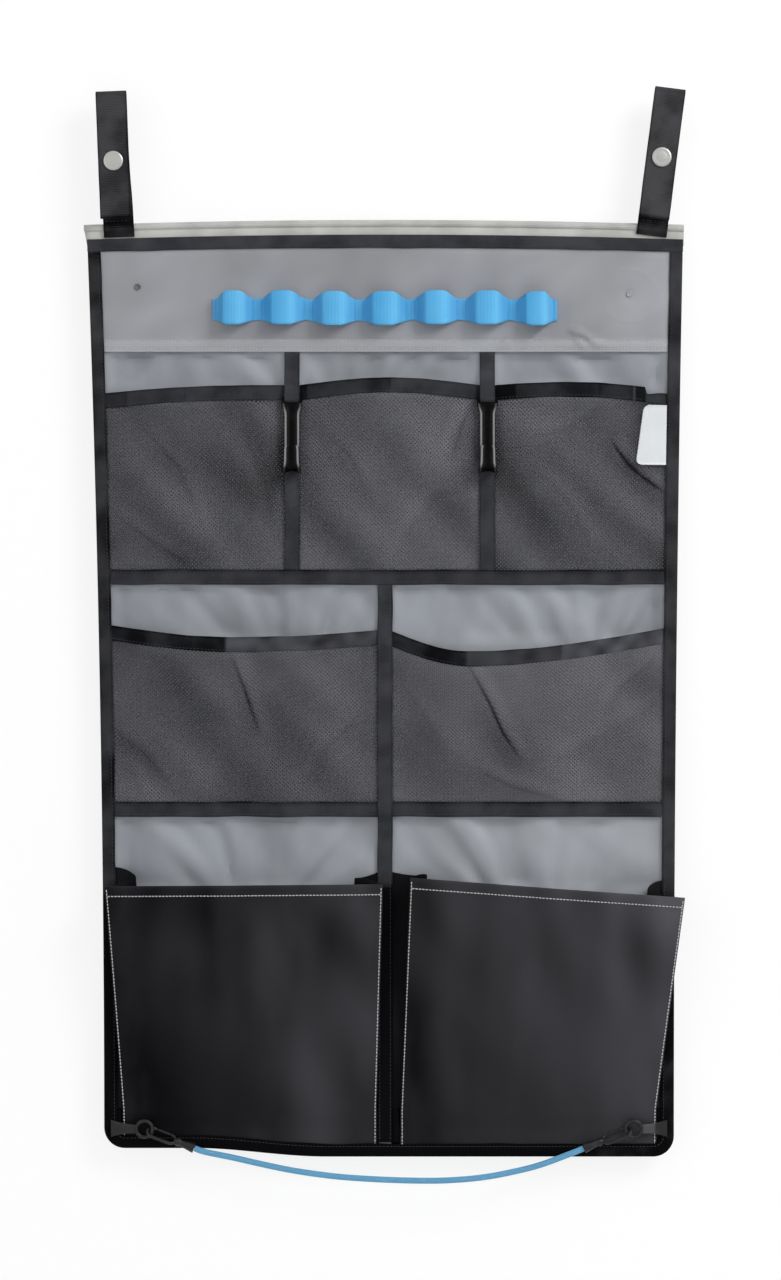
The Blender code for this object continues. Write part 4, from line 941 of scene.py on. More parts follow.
def make_strap(word, side):
    """One length of webbing: sewn leg, fold at the top and the flap that snaps down in front."""
    x = side_edge(side, 0.0) - side * STRAP_INSETS[word]
    stand = Matrix.Translation((x, 0, 0)) @ Matrix.Rotation(STRAP_TILTS[word], 4, "Y")
    fold_z = STRAP_HEIGHTS[word] - STRAP_CLOTH - 2.7 * MM
    snap_z = STRAP_HEIGHTS[word] - SNAP_DROP
    half = STRAP_WIDTH / 2
    tilt = abs(STRAP_TILTS[word])
    hang = droop(abs(stand.translation.x) - half)
    tucked_y = -(GAP / 2 + WELT_CLOTH + GAP + STRAP_CLOTH / 2)
    end = Z_TOP_TAPE - hang + GAP + half * math.sin(tilt)
    slope = -hang - half * math.sin(tilt) - 1.2 * MM
    line = [Vector((0, mix(tucked_y, STRAP_REAR_Y, ease(k / 10)), mix(end, slope, k / 10)))
            for k in range(11)]
    line += [Vector((0, STRAP_REAR_Y, mix(slope, fold_z, k / 26))) for k in range(1, 27)]
    for k in range(1, 18):
        turn = math.pi * k / 18
        line.append(Vector((0, STRAP_FOLD_Y + STRAP_BOW * math.cos(turn),
                            fold_z + STRAP_BOW * math.sin(turn))))
    front_y = STRAP_FOLD_Y - STRAP_BOW
    line += [Vector((0, front_y, mix(fold_z, FLAP_END, k / 30))) for k in range(31)]

    def place(u, v):
        point = at(line, u)
        x = half * (1 - 2 * v)
        wave = 0.12 * MM * swirl(point.z, point.y, 9.0 + side, 22 * MM)
        shift = 1.7 * MM * (1 - ease(point.z / (60 * MM))) * (u < 0.45) * (side < 0)
        bend = 0.5 * MM * swirl(x, point.z, 6.0 + side, 26 * MM) * ease((u - 0.55) * 9)
        hem = 0.25 * MM * hump(point.z, FLAP_END + 7 * MM, 1.2 * MM) * (u > 0.6)
        return stand @ Vector((x + wave + shift, point.y - bend + hem, point.z))

    def shade(u, v):
        z = at(line, u).z
        # Painted shadow on the leg: darker below the flap's end, darkest just under it.
        if u < 0.45:
            return 0.03 - 0.13 * (z < 3 * MM) - 0.4 * hump(z, 1.5 * MM, 3.4 * MM)
        # The flap's last millimetres are darker, partly its melted cut end and partly painted
        # shadow of the gap below it; the right strap is a little paler and the edges darker.
        seared_end_and_shadow = 0.3 * (1 - ease((z - FLAP_END - 0.6 * MM) / (1.6 * MM)))
        return 0.04 + 0.03 * (side > 0) - seared_end_and_shadow - 0.1 * (abs(2 * v - 1) > 0.93)

    size = (length_of(line), STRAP_WIDTH)
    builder = bend_grid(len(line) - 1, 24, place, size, shade=shade)
    strap = thicken(settle("hanging_strap_" + word, builder, "webbing", None, "webbing",
                           [f"strap_{part}_{word}" for part in ("leg", "fold", "flap")]),
                    STRAP_CLOTH, even=False)
    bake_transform(strap)

    # The snap's cap and post, as (forwards, radius): a rolled rim and a slightly dished middle.
    face = (STRAP_CLOTH / 2 + GAP) / MM
    profile = [(-face - 0.45, 0.0), (-face - 0.45, 2.1), (face, 2.1), (face, 7.2)]
    profile += [(face + out, radius) for out, radius in (
        (0.05, 7.8), (0.35, 8.0), (0.8, 7.9), (1.15, 7.5), (1.4, 6.9), (1.5, 6.1), (1.35, 5.4),
        (1.4, 4.6), (1.6, 3.2), (1.68, 1.6), (1.7, 0.0))]
    turn = stand @ Matrix.Translation((0, front_y, snap_z)) @ Matrix.Rotation(math.pi / 2, 4, "X")
    settle("snap_button_" + word, turned(profile, turn), "metal", "strap_flap_" + word, "nickel",
           ["snap_cap_" + word])
    repaint("snap_socket_" + word, "metal")
    repaint("snap_stud_" + word, "metal")

    outward = (stand.to_3x3() @ FRONTWARDS).normalized()
    row = [stand @ Vector((x * MM, STRAP_REAR_Y - 0.62 * MM, 1.5 * MM)) for x in (-9.5, 9.5)]
    stitches("strap_stitches_" + word, [row], "dark_thread", "panel", outward)


# ------------------------------------------------------------ panel and header

def ruck(x, z):
    """How far the back cloth gives way backwards: gathers under each sewn line, and soft waves."""
    total = 0.0
    for number, top, depth in ((1, Z_HEADER_END, 34 * MM), (2, Z_UPPER_FLOOR - TAPE_WIDTH, 52 * MM),
                               (3, Z_LOWER_FLOOR - TAPE_WIDTH, 66 * MM)):
        below = top - z
        if 0 < below < depth:
            slant = 0.75 * math.sin(x / (37 * MM) + number)
            fan = x + slant * below
            pleats = swirl(fan, below * 0.22, number * 9, 17 * MM)
            wide = swirl(fan, below * 0.4, number + 3, 38 * MM)
            total += MM * (2.0 * pleats + 2.6 * wide + 2.6) * ease(below / (5 * MM)) \
                * ease((depth - below) / (14 * MM))
    total += MM * (0.7 + 0.7 * swirl(x, z, 1.5, 60 * MM))
    fade = ease(inside_binding(x, z) / (9 * MM))
    for line in (Z_UPPER_FLOOR - TAPE_WIDTH / 2, Z_LOWER_FLOOR - TAPE_WIDTH / 2):
        fade *= ease((abs(z - line) - TAPE_WIDTH / 2) / (3 * MM))
    if z > Z_HEADER_END:
        fade *= mix(1.0, 0.3, ease((z - Z_HEADER_END) / (8 * MM))) * ease((Z_SEAM - z) / (12 * MM))
    if z < Z_HINGE:
        fade *= ease((z - Z_BOTTOM - BINDING_WIDTH) / (12 * MM))
    dividers = UPPER_DIVIDERS if Z_UPPER_FLOOR < z < Z_HEADER_END else (LOWER_DIVIDER,)
    for divider in dividers:
        fade *= 0.25 + 0.75 * ease((abs(x - divider) - TAPE_WIDTH / 2) / (9 * MM))
    return max(total, -0.1 * MM) * fade


def make_back_panel():
    """The silver-grey back cloth, cut to the outline, drawn up where it is sewn."""
    inset = TAPE_CLOTH + GAP
    top = Z_SEAM - GAP
    corner = CORNER_RADIUS - inset

    def place(u, v):
        guess = mix(left_edge(Z_BOTTOM), right_edge(Z_BOTTOM), u)
        low = bottom_edge(guess) + inset
        z = mix(low, top, v)
        trim = 0.0
        if z < low + corner:
            trim = corner - math.sqrt(max(corner ** 2 - (low + corner - z) ** 2, 0.0))
        x = mix(left_edge(z) + inset + trim, right_edge(z) - inset - trim, u)
        return on_panel(x, ruck(x, z), z)

    def shade(u, v):
        """Paler towards the light, most of all above the right deep pocket."""
        z = mix(Z_BOTTOM, top, v)
        low = ease((Z_LOWER_FLOOR - z) / (20 * MM))
        x = across(z, u)
        # Painted light and shade of soft wrinkles across the cloth.
        painted_fold_shade = 0.05 * swirl(x + 1.2 * z, 0.3 * z, 4.0, 24 * MM)
        return 0.03 + 0.05 * u + 0.12 * low * ease(2 * u - 0.7) + painted_fold_shade

    flat = (0.484, 0.75)
    panel = cloth("back_cloth", 132, 210, place, flat, PANEL_CLOTH, "panel", "panel",
                  slot="panel_cloth", nodes=["back_panel"], soften=0.0, shade=shade)


# Creases that fan out from the right rivet: angle in degrees, reach and start in millimetres.
DRAG_LINES = ((24, 34, 0), (40, 30, 6), (58, 22, 2), (140, 26, -20), (122, 22, -44))


def header_swell(x, z):
    """How far the header stands forward: slack pulled by the sewn band and the rivets."""
    swell = 0.6 + 0.6 * swirl(x, z, 7.0, 46 * MM)
    drag = 0.0
    for angle, reach, start in DRAG_LINES:
        turn = math.radians(angle)
        dx = x - (150 + start) * MM
        dz = z + 86 * MM
        along = dx * math.cos(turn) - dz * math.sin(turn)
        off = dx * math.sin(turn) + dz * math.cos(turn)
        if along > 0:
            drag += 1.5 * math.exp(-(off / (2.6 * MM)) ** 2) * hump(along, 12 * MM, reach * MM)
    ring = math.hypot(x - 199.5 * MM, z + 58 * MM)
    swell += 0.25 * math.exp(-((ring - 22 * MM) / (1.5 * MM)) ** 2)
    band = max(hump(z, -71 * MM, 24 * MM) * (1 - ease((abs(x) - 144 * MM) / (8 * MM))),
               hump(x, -204 * MM, 10 * MM) * hump(z, -52 * MM, 10 * MM),
               hump(x, 199.5 * MM, 10 * MM) * hump(z, -58 * MM, 10 * MM))
    fade = ease(inside_binding(x, z) / (8 * MM)) * ease((Z_HEADER - z) / (6 * MM)) * (1 - band)
    return MM * (swell + drag) * fade * ease((z - Z_HEADER_END) / (7 * MM) + 0.15)


HEM_ROWS = (2.6 * MM, 9.2 * MM)


def header_point(x, z):
    """The middle of the header's cloth, with its sewn hem."""
    rise = z - Z_HEADER_END
    hem = -0.3 * (hump(rise, HEM_ROWS[0], 1.6 * MM) + hump(rise, HEM_ROWS[1], 1.6 * MM))
    hem += 0.55 * (1 - ease((rise - 10.6 * MM) / (1.4 * MM)))
    hem += 0.16 * (1 - ease((rise - 9.0 * MM) / (2 * MM))) * swirl(x, 0, 2.0, 5 * MM)
    hem *= ease(inside_binding(x, z) / (3 * MM) + 0.2)
    return on_panel(x, FACING_Y - header_swell(x, z) - hem * MM, z)


def make_header():
    """The header cloth, its lower edge folded up into a hem and sewn twice."""
    inset = TAPE_CLOTH + GAP
    top = Z_SEAM - GAP

    def place(u, v):
        z = mix(Z_HEADER_END, top, v)
        return header_point(across(z, u, inset), z)

    def shade(u, v):
        z = mix(Z_HEADER_END, top, v)
        hem = 1 - ease((z - Z_HEADER_END - 10.6 * MM) / (1.5 * MM))
        x = across(z, u)
        cloud = 0.05 * swirl(x, 1.6 * z, 11.0, 62 * MM) + 0.03 * swirl(x - z, z, 31.0, 26 * MM)
        # Painted light: paler to the right, towards the light, and a little darker towards the top;
        # the hem paler, a darker line along its upper edge, and soft cloud blotches.
        return (0.07 + 0.04 * u - 0.03 * v + 0.13 * hem + cloud * (1 - 0.6 * hem)
                - 0.12 * hump(z, Z_HEADER_END + 11 * MM, 1.2 * MM))

    flat = (0.484, 0.091)
    header = cloth("header_cloth", 180, 110, place, flat, FACING_CLOTH, "header", "panel",
                   slot="header_cloth", nodes=["header_panel"], shade=shade)
    rows = []
    for rise in HEM_ROWS:
        z = Z_HEADER_END + rise
        spots = [header_point(across(z, k / 160, 11.5 * MM), z) for k in range(161)]
        rows.append([spot + (FACING_CLOTH / 2 + 0.1 * MM) * FRONTWARDS for spot in spots])
    stitches("header_hem_stitches", rows, "pale_thread", "panel", pitch=2.8, length=2.2, girth=0.8)


def make_rivet(word, side):
    """A small dished rivet head in a corner of the header."""
    z = Z_HEADER - (32.0 if side < 0 else 37.8) * MM
    x = side_edge(side, Z_HEADER) - side * (41.0 if side < 0 else 43.9) * MM
    profile = [(0.0, 0.0), (0.0, 2.45), (0.12, 2.6), (0.45, 2.6), (0.8, 2.4), (1.02, 2.1),
               (1.1, 1.8), (1.02, 1.5), (0.8, 1.2), (0.6, 0.8), (0.48, 0.35), (0.44, 0.0)]
    matrix = Matrix.Translation((x, FACING_FACE - GAP, z)) @ Matrix.Rotation(math.pi / 2, 4, "X")
    settle("rivet_head_" + word, turned(profile, matrix, 32), "rivet_" + word, "panel", "rivet",
           ["header_rivet_" + word])


# ------------------------------------------------------------------ tool band

LOOP_PITCH = 41.8 * MM
FIRST_LOOP = -0.8 * MM - 3 * LOOP_PITCH
LAST_LOOP = -0.8 * MM + 3 * LOOP_PITCH
LOOP_REACH = 16.4 * MM
END_LOOP_REACH = 11.6 * MM
LOOP_RISE = 13.0
LOOP_WIDTH = 27.7
FLAT_WIDTH = 17.2
BAND_TAIL = 4 * MM
BAND_STEP = 0.38 * MM
BAND_FACE_Y = FACING_FACE - GAP - BAND_CLOTH / 2
BAND_Z = Z_HEADER - 50.9 * MM


def loop_at(x):
    """The nearest loop's number, and where x is on it, from -1 to 1 between its feet."""
    number = min(max(round((x - FIRST_LOOP) / LOOP_PITCH), 0), 6)
    away = x - FIRST_LOOP - number * LOOP_PITCH
    is_end = (number == 0 and away < 0) or (number == 6 and away > 0)
    return number, away / (END_LOOP_REACH if is_end else LOOP_REACH)


def band_profile(x):
    """How far the band stands out at x, its width there, and how far it is drawn in."""
    number, along = loop_at(x)
    share = abs(along)
    shoulder = 0.5 + 0.05 * math.sin(2.3 * number + 1.0) - 0.06 * (along > 0)
    rise = (LOOP_RISE + 0.5 * math.sin(4.1 * number)) * MM
    crown = 1 - 0.07 * min(share / shoulder, 1.0) ** 2
    stands = rise * crown * (1 - ease((share - shoulder) / (1 - shoulder)))
    drawn_in = ease((share * LOOP_REACH - 4.4 * MM) / (15.0 * MM))
    return stands, mix(LOOP_WIDTH, FLAT_WIDTH, drawn_in) * MM, drawn_in


def make_tool_band():
    """One elastic band, sewn flat between loops, with upright cords that show as ribs."""
    start = FIRST_LOOP - END_LOOP_REACH - BAND_TAIL
    end = LAST_LOOP + END_LOOP_REACH + BAND_TAIL
    xs = [mix(start, end, k / 2000) for k in range(2001)]
    line = evenly([Vector((x, -band_profile(x)[0], 0)) for x in xs], BAND_STEP)
    columns = len(line) - 1
    length = columns * BAND_STEP

    def place(u, v):
        k = round(u * columns)
        x, lift = line[k].x, line[k].y
        width, drawn_in = band_profile(x)[1:]
        rib = abs(math.sin(k * math.pi / 3)) * 0.16 * MM
        scallop = rib * 0.8 * (abs(2 * v - 1) > 0.99)
        number = round((x - FIRST_LOOP) / LOOP_PITCH)
        sag = 0.5 * MM * math.sin(1.7 * number + 0.5)
        z = BAND_Z + sag + 0.7 * MM * (1 - drawn_in) + (width / 2 + scallop) * (2 * v - 1)
        return Vector((x, BAND_FACE_Y + lift - rib, z))

    def shade(u, v):
        """Painted light and shade: each loop's face is painted paler to the right, towards the
        light, and its left wall is painted in shadow.
        """
        along = loop_at(at(line, u).x)[1]
        on_face = 1 - ease((abs(along) - 0.55) / 0.24)
        face = 0.36 * along + 0.12 * hump(along, 0.36, 0.21)
        return on_face * face - 0.3 * hump(along, -0.79, 0.3)

    cloth("tool_loops", columns, 14, place, (length, 0.0287), BAND_CLOTH, "elastic", "panel",
          slot="blue_band", nodes=["tool_loop_band"], soften=0.0, shade=shade)
    sewn = [start + 2.2 * MM]
    for number in range(1, 7):
        middle = FIRST_LOOP + (number - 0.5) * LOOP_PITCH
        sewn += [middle - 3.4 * MM, middle + 3.4 * MM]
    sewn.append(end - 2.2 * MM)
    front = BAND_FACE_Y - BAND_CLOTH / 2 - 0.14 * MM
    tacks = [[Vector((x, front, BAND_Z + h * MM)) for h in (-8.0, 8.0)] for x in sewn]
    stitches("tool_loop_tacks", tacks, "blue_thread", "panel", pitch=1.6, length=1.4, girth=0.45)


# --------------------------------------------------------- tapes and bindings

def make_top_tapes():
    """The black tapes over the welt's flange, front and rear."""
    for name, y in (("top_tape_front", TAPE_Y), ("top_tape_rear", REAR_TAPE_Y)):
        def place(u, v, y=y):
            z = mix(Z_HEADER, Z_TOP_TAPE, v)
            x = across(z, u)
            wave = 0.35 * MM * swirl(x, v, 12.0, 30 * MM) * (1 - v)
            return on_panel(x, y, z + wave)
        cloth(name.replace("top_tape", "top_edge_tape"), 90, 6, place, (0.488, 0.0115), TAPE_CLOTH,
              "tape", "panel", slot="black_tape", nodes=[name], shade=lambda u, v: 0.1 + 0.04 * v)
    rows = []
    for z in (Z_TOP_TAPE - 2 * MM, Z_HEADER + 1.8 * MM):
        rows.append([on_panel(across(z, k / 60, 2 * MM), THREAD_Y, z) for k in range(61)])
    stitches("top_tape_stitches", rows, "dark_thread", "panel")


def make_binding():
    """One tape folded round the raw edge: down the left side, round the foot and up the right."""
    top = Z_HEADER - GAP
    inner = BINDING_WIDTH
    fold = TAPE_CLOTH / 2
    half = (REAR_TAPE_Y - TAPE_Y) / 2
    middle = (REAR_TAPE_Y + TAPE_Y) / 2
    section = [(mix(inner, fold + half, k / 5), TAPE_Y) for k in range(6)]
    for k in range(1, 12):
        turn = math.pi * k / 12
        section.append((fold + half * (1 - math.sin(turn)) * 0.9, middle - half * math.cos(turn)))
    section += [(mix(fold + half, inner, k / 5), REAR_TAPE_Y) for k in range(6)]
    runs = [outline(inset, top) for inset, _ in section]
    columns = len(runs[0]) - 1
    rows = len(section) - 1

    def place(u, v):
        i = round(u * columns)
        j = round(v * rows)
        x, z = runs[j][i]
        y = section[j][1]
        inwards = 1.0 if j in (0, rows) else 0.0
        shift = 0.4 * MM * swirl(x + z, y, 21.0, 26 * MM) * inwards
        if -15 < i - columns < 0 or i < columns / 3:
            x += shift
        else:
            z += shift
        return on_panel(x, y, z)

    def shade(u, v):
        x, z = runs[2][round(u * columns)]
        # Painted shade: darker low down, beside and under the deep pockets, less so on the right; a
        # painted shadow in the folded top-left corner; paler to the right, towards the light;
        # painted light and shade of wrinkles.
        low = ease((Z_DEEP_MOUTH + 10 * MM - z) / (40 * MM))
        corner = hump(z, Z_HEADER - 3 * MM, 8 * MM) * (x < 0)
        painted_fold_shade = 0.09 * swirl(x, z, 15.0, 34 * MM)
        right = ease((x - 0.08) / 0.1)
        return painted_fold_shade + 0.02 - (0.5 - 0.22 * right) * low - 0.3 * corner + 0.05 * right * (1 - low)

    cloth("edge_binding", columns, rows, place, (2.0, 0.0245), TAPE_CLOTH, "binding", "panel",
          slot="black_tape", nodes=["binding_left", "binding_foot", "binding_right"], soften=0.25,
          shade=shade)
    for name, y, out in (("binding_stitches_front", THREAD_Y, FRONTWARDS),
                         ("binding_stitches_rear", REAR_TAPE_Y + 0.55 * MM, BACKWARDS)):
        row = [on_panel(x, y, z) for x, z in outline(BINDING_WIDTH - 2.2 * MM, top - 2 * MM)]
        stitches(name, [row], "dark_thread", "panel", out)


def divider_tape(name, path, x, node):
    """Tape that follows a path of (y, z) points at x, facing forward."""
    half = TAPE_WIDTH / 2
    line = evenly([Vector((0, y, z)) for y, z in path], 2.5 * MM)

    def place(u, v):
        point = at(line, u)
        sway = 0.25 * MM * swirl(point.z, x, 5.0, 30 * MM)
        return Vector((x + half * (2 * v - 1) + sway, point.y, point.z))

    def shade(u, v):
        z = at(line, u).z
        # Painted shade: black low down between the deep pockets, where the shade falls; paler near
        # the top; painted light and shade of wrinkles.
        low = ease((Z_DEEP_MOUTH + 4 * MM - z) / (12 * MM))
        painted_fold_shade = 0.04 * swirl(z, x, 2.0, 30 * MM)
        return 0.1 + 0.12 * (z > Z_UPPER_MOUTH - 20 * MM) + painted_fold_shade - 0.7 * low

    cloth(name, len(line) - 1, 6, place, (length_of(line), TAPE_WIDTH), TAPE_CLOTH, "tape",
          "panel", slot="black_tape", nodes=[node], shade=shade)


def make_tapes():
    """The tapes between and under the pockets, with the seams that show front and rear."""
    half = TAPE_WIDTH / 2
    seam = half - 1.8 * MM
    rows = []
    for word, x in zip(("left", "right"), UPPER_DIVIDERS):
        path = [(TAPE_Y, Z_UPPER_MOUTH), (TAPE_Y, Z_UPPER_FLOOR + GAP)]
        divider_tape("upper_divider_tape_" + word, path, x, "divider_upper_" + word)
        for shift in (-1, 1):
            rows.append([Vector((x + shift * seam, THREAD_Y, z))
                         for z in (Z_UPPER_MOUTH - 4 * MM, Z_UPPER_FLOOR + 2 * MM)])
    for word, top in (("upper", Z_UPPER_FLOOR), ("lower", Z_LOWER_FLOOR)):

        def place(u, v):
            z = top - TAPE_WIDTH * (1 - v)
            x = across(z, u, BINDING_WIDTH + GAP)
            wave = 0.35 * MM * swirl(x, top, 30.0, 34 * MM)
            return Vector((x, TAPE_Y, z + wave))

        cloth(f"cross_tape_sewn_{word}", 90, 6, place, (0.46, TAPE_WIDTH), TAPE_CLOTH, "tape",
              "panel", slot="black_tape", nodes=["cross_tape_" + word],
              shade=lambda u, v: 0.08 - 0.1 * (v > 0.8))
        for drop in (2.0 * MM, TAPE_WIDTH - 2.0 * MM):
            z = top - drop
            rows.append([Vector((across(z, k / 60, 12 * MM), THREAD_Y, z)) for k in range(61)])
    foot = bottom_edge(LOWER_DIVIDER + half) + BINDING_WIDTH + GAP + 0.9 * MM
    step = 3 * MM
    path = [(TAPE_Y, Z_UPPER_FLOOR - TAPE_WIDTH - GAP), (TAPE_Y, Z_LOWER_FLOOR + step),
            (RAISED_TAPE_Y, Z_LOWER_FLOOR + 1 * MM),
            (RAISED_TAPE_Y, Z_LOWER_FLOOR - TAPE_WIDTH - 1 * MM),
            (TAPE_Y, Z_LOWER_FLOOR - TAPE_WIDTH - step), (TAPE_Y, foot)]
    divider_tape("lower_divider_tape", path, LOWER_DIVIDER, "divider_lower")
    for shift in (-1, 1):
        x = LOWER_DIVIDER + shift * seam
        for ends in ((Z_UPPER_FLOOR - TAPE_WIDTH - 3 * MM, Z_LOWER_FLOOR + 5 * MM),
                     (Z_LOWER_FLOOR - TAPE_WIDTH - 5 * MM, foot + 2 * MM)):
            rows.append([Vector((x, THREAD_Y, z)) for z in ends])
    stitches("tape_stitches", rows, "dark_thread", "panel")
    rear = [[Vector((p.x, PANEL_CLOTH / 2 + 0.2 * MM, p.z)) for p in row] for row in rows]
    stitches("rear_seam_stitches", rear, "dark_thread", "panel", BACKWARDS)


# ---------------------------------------------------------------- net pockets

NET_PITCH = 3.2 * MM
NET_TUCK = 3 * MM
TOP_TUCK = 1.5 * MM
THREAD_LIFT = 0.13 * MM
THREAD_HALF_WIDTH = 0.57
THREAD_HALF_DEPTH = 0.21


class NetPocket:
    """A net pocket between two seams: its mouth's line, its gape, its tone and its creases."""

    def __init__(self, name, sides, level, floor, gape, ends, rise, tone, apex=0.5, creases=()):
        self.name = name
        self.sides = sides
        self.level = level
        self.floor = floor
        self.gape = gape * MM
        self.ends = [end * MM for end in ends]
        self.rise = rise * MM
        self.tone = tone
        self.apex = apex
        self.creases = [(depth, [(x * MM, z * MM) for x, z in points]) for depth, points in creases]

    def across(self, u, z):
        """X at a share of the way between the seams, or tucked under them past their ends."""
        left = self.sides[0](z)
        right = self.sides[1](z)
        if u < 0:
            return left - NET_TUCK * min(-u * 20, 1)
        if u > 1:
            return right + NET_TUCK * min((u - 1) * 20, 1)
        return mix(left, right, u)

    def mouth(self, u):
        """The height of the mouth's edge."""
        u = clamp(u)
        if u < self.apex:
            share = u / (2 * self.apex)
        else:
            share = 1 - (1 - u) / (2 * (1 - self.apex))
        return self.level + mix(*self.ends, u) + self.rise * math.sin(math.pi * share)

    def up(self, u, z):
        """The share of the way from the floor to the mouth."""
        return clamp((z - self.floor) / (self.mouth(u) - self.floor))

    def stand_off(self, u, z):
        """How far the net stands forward of the panel."""
        u = clamp(u)
        v = self.up(u, z)
        return self.gape * math.sin(math.pi * u) * math.sin(math.pi / 2 * v)

    def slack(self, u, z):
        """Ripples and creases in the net, as extra stand-off."""
        u = clamp(u)
        x = self.across(u, z)
        v = self.up(u, z)
        free = math.sin(math.pi * u) ** 0.7 * math.sin(math.pi * min(v, 0.94))
        wave = 1.5 * MM * swirl(x + 0.5 * z, z - 0.3 * x, self.level / MM, 52 * MM)
        wave += 0.6 * MM * swirl(x - 0.6 * z, z, self.level / MM + 5, 21 * MM)
        seam = min(u, 1 - u) * 150
        pucker = 0.35 * MM * swirl(0.0, z, self.ends[0] + 8, 7 * MM) * math.exp(-seam / 6)
        for depth, points in self.creases:
            off, _, along = near_line(x, z, points)
            fold = math.exp(-(off / (2.2 * MM)) ** 2)
            wave += depth * MM * fold * math.sin(math.pi * along) ** 0.6
        return wave * free + pucker

    def grip(self, depth, along):
        """How hard a crease draws the net together, fading out at both of its ends."""
        return min((depth / 2.4) ** 2, 1.0) * math.sin(math.pi * along) ** 0.6

    def gathered(self, x, z):
        """Where the threads lie that a crease has drawn together."""
        for depth, points in self.creases:
            off, side, along = near_line(x, z, points)
            if off > 16 * MM:
                continue
            pull = self.grip(depth, along) * 0.72 * off * math.exp(-(off / (3.4 * MM)) ** 2)
            run_x = points[-1][0] - points[0][0]
            run_z = points[-1][1] - points[0][1]
            run = math.hypot(run_x, run_z)
            x -= side * pull * run_z / run
            z += side * pull * run_x / run
        return x, z

    def shade(self, x, z):
        """Painted shade: dark lines in the creases with a painted paler side, painted shadow round
        the hooks, paler to the right towards the light, and broad soft bands.
        """
        tone = 0.11 * swirl(x + 0.9 * z, z * 0.5, self.level * 3 / MM, 36 * MM)
        tone += 0.1 * swirl(x, z, self.level / MM, 80 * MM) + 0.14 * x
        tone += self.tone
        # Painted shadow round each hook.
        for hook_x in UPPER_DIVIDERS:
            tone -= 0.3 * (hump(x, hook_x, 19 * MM) * hump(z, -182 * MM, 42 * MM))
        # Painted shade in each crease, with a painted paler band on one side and a darker one on
        # the other.
        for depth, points in self.creases:
            off, side, along = near_line(x, z, points)
            strength = self.grip(depth, along)
            tone -= 0.36 * strength * math.exp(-(off / (1.5 * MM)) ** 2)
            if side * depth > 0:
                tone += 0.13 * strength ** 0.5 * math.exp(-((off - 7 * MM) / (5 * MM)) ** 2)
            else:
                tone -= 0.07 * strength ** 0.5 * math.exp(-((off - 5 * MM) / (6 * MM)) ** 2)
        return tone


def inner_left(z):
    """X of the left binding's inner edge."""
    return left_edge(z) + BINDING_WIDTH


def inner_right(z):
    """X of the right binding's inner edge."""
    return right_edge(z) - BINDING_WIDTH


def tape_side(x, side):
    """X of a tape's left or right edge, as a function of height."""
    return lambda z: x + side * TAPE_WIDTH / 2


NET_POCKETS = [
    NetPocket("upper_left", (inner_left, tape_side(UPPER_DIVIDERS[0], -1)),
              Z_UPPER_MOUTH, Z_UPPER_FLOOR, 14.0, (-6.6, 0.0), 1.2, 0.21,
              creases=[(-1.0, [(-205, -160), (-170, -200), (-150, -250)]),
                       (0.9, [(-120, -165), (-98, -215), (-92, -262)]),
                       (-1.2, [(-222, -238), (-190, -262), (-160, -280)])]),
    NetPocket("upper_middle", (tape_side(UPPER_DIVIDERS[0], 1), tape_side(UPPER_DIVIDERS[1], -1)),
              Z_UPPER_MOUTH, Z_UPPER_FLOOR, 14.0, (0.0, 0.0), 5.3, 0.23,
              creases=[(1.8, [(73, -142), (62, -166), (52, -196)]),
                       (-1.0, [(-60, -160), (-30, -190), (-8, -235)]),
                       (0.9, [(48, -215), (20, -250), (5, -282)])]),
    NetPocket("upper_right", (tape_side(UPPER_DIVIDERS[1], 1), inner_right),
              Z_UPPER_MOUTH, Z_UPPER_FLOOR, 14.0, (0.0, -3.7), 3.4, 0.09,
              creases=[(-2.6, [(184, -176), (189, -186), (197, -196), (205, -204), (216, -212),
                               (231, -222)]),
                       (-0.9, [(120, -200), (150, -230), (168, -265)]),
                       (1.0, [(176, -150), (150, -168), (118, -176)])]),
    NetPocket("lower_left", (inner_left, tape_side(LOWER_DIVIDER, -1)),
              Z_LOWER_MOUTH, Z_LOWER_FLOOR, 16.0, (2.5, -1.6), -7.9, 0.17, 0.42,
              creases=[(-2.0, [(-128, -350), (-116, -380), (-103, -420)]),
                       (-1.1, [(-226, -412), (-196, -436), (-172, -466)]),
                       (-0.9, [(-224, -436), (-206, -452), (-196, -476)]),
                       (1.0, [(-18, -398), (-48, -428), (-66, -460)])]),
    NetPocket("lower_right", (tape_side(LOWER_DIVIDER, 1), inner_right),
              Z_LOWER_MOUTH, Z_LOWER_FLOOR, 16.0, (-2.5, 0.0), -17.0, 0.31, 0.29,
              creases=[(-2.6, [(62, -352), (84, -392), (96, -418), (112, -442)]),
                       (-1.7, [(74, -448), (104, -462), (150, -474)]),
                       (1.2, [(222, -356), (192, -380), (176, -412)]),
                       (1.0, [(226, -392), (186, -412), (140, -440)]),
                       (-0.9, [(10, -372), (34, -408), (52, -438)])]),
]


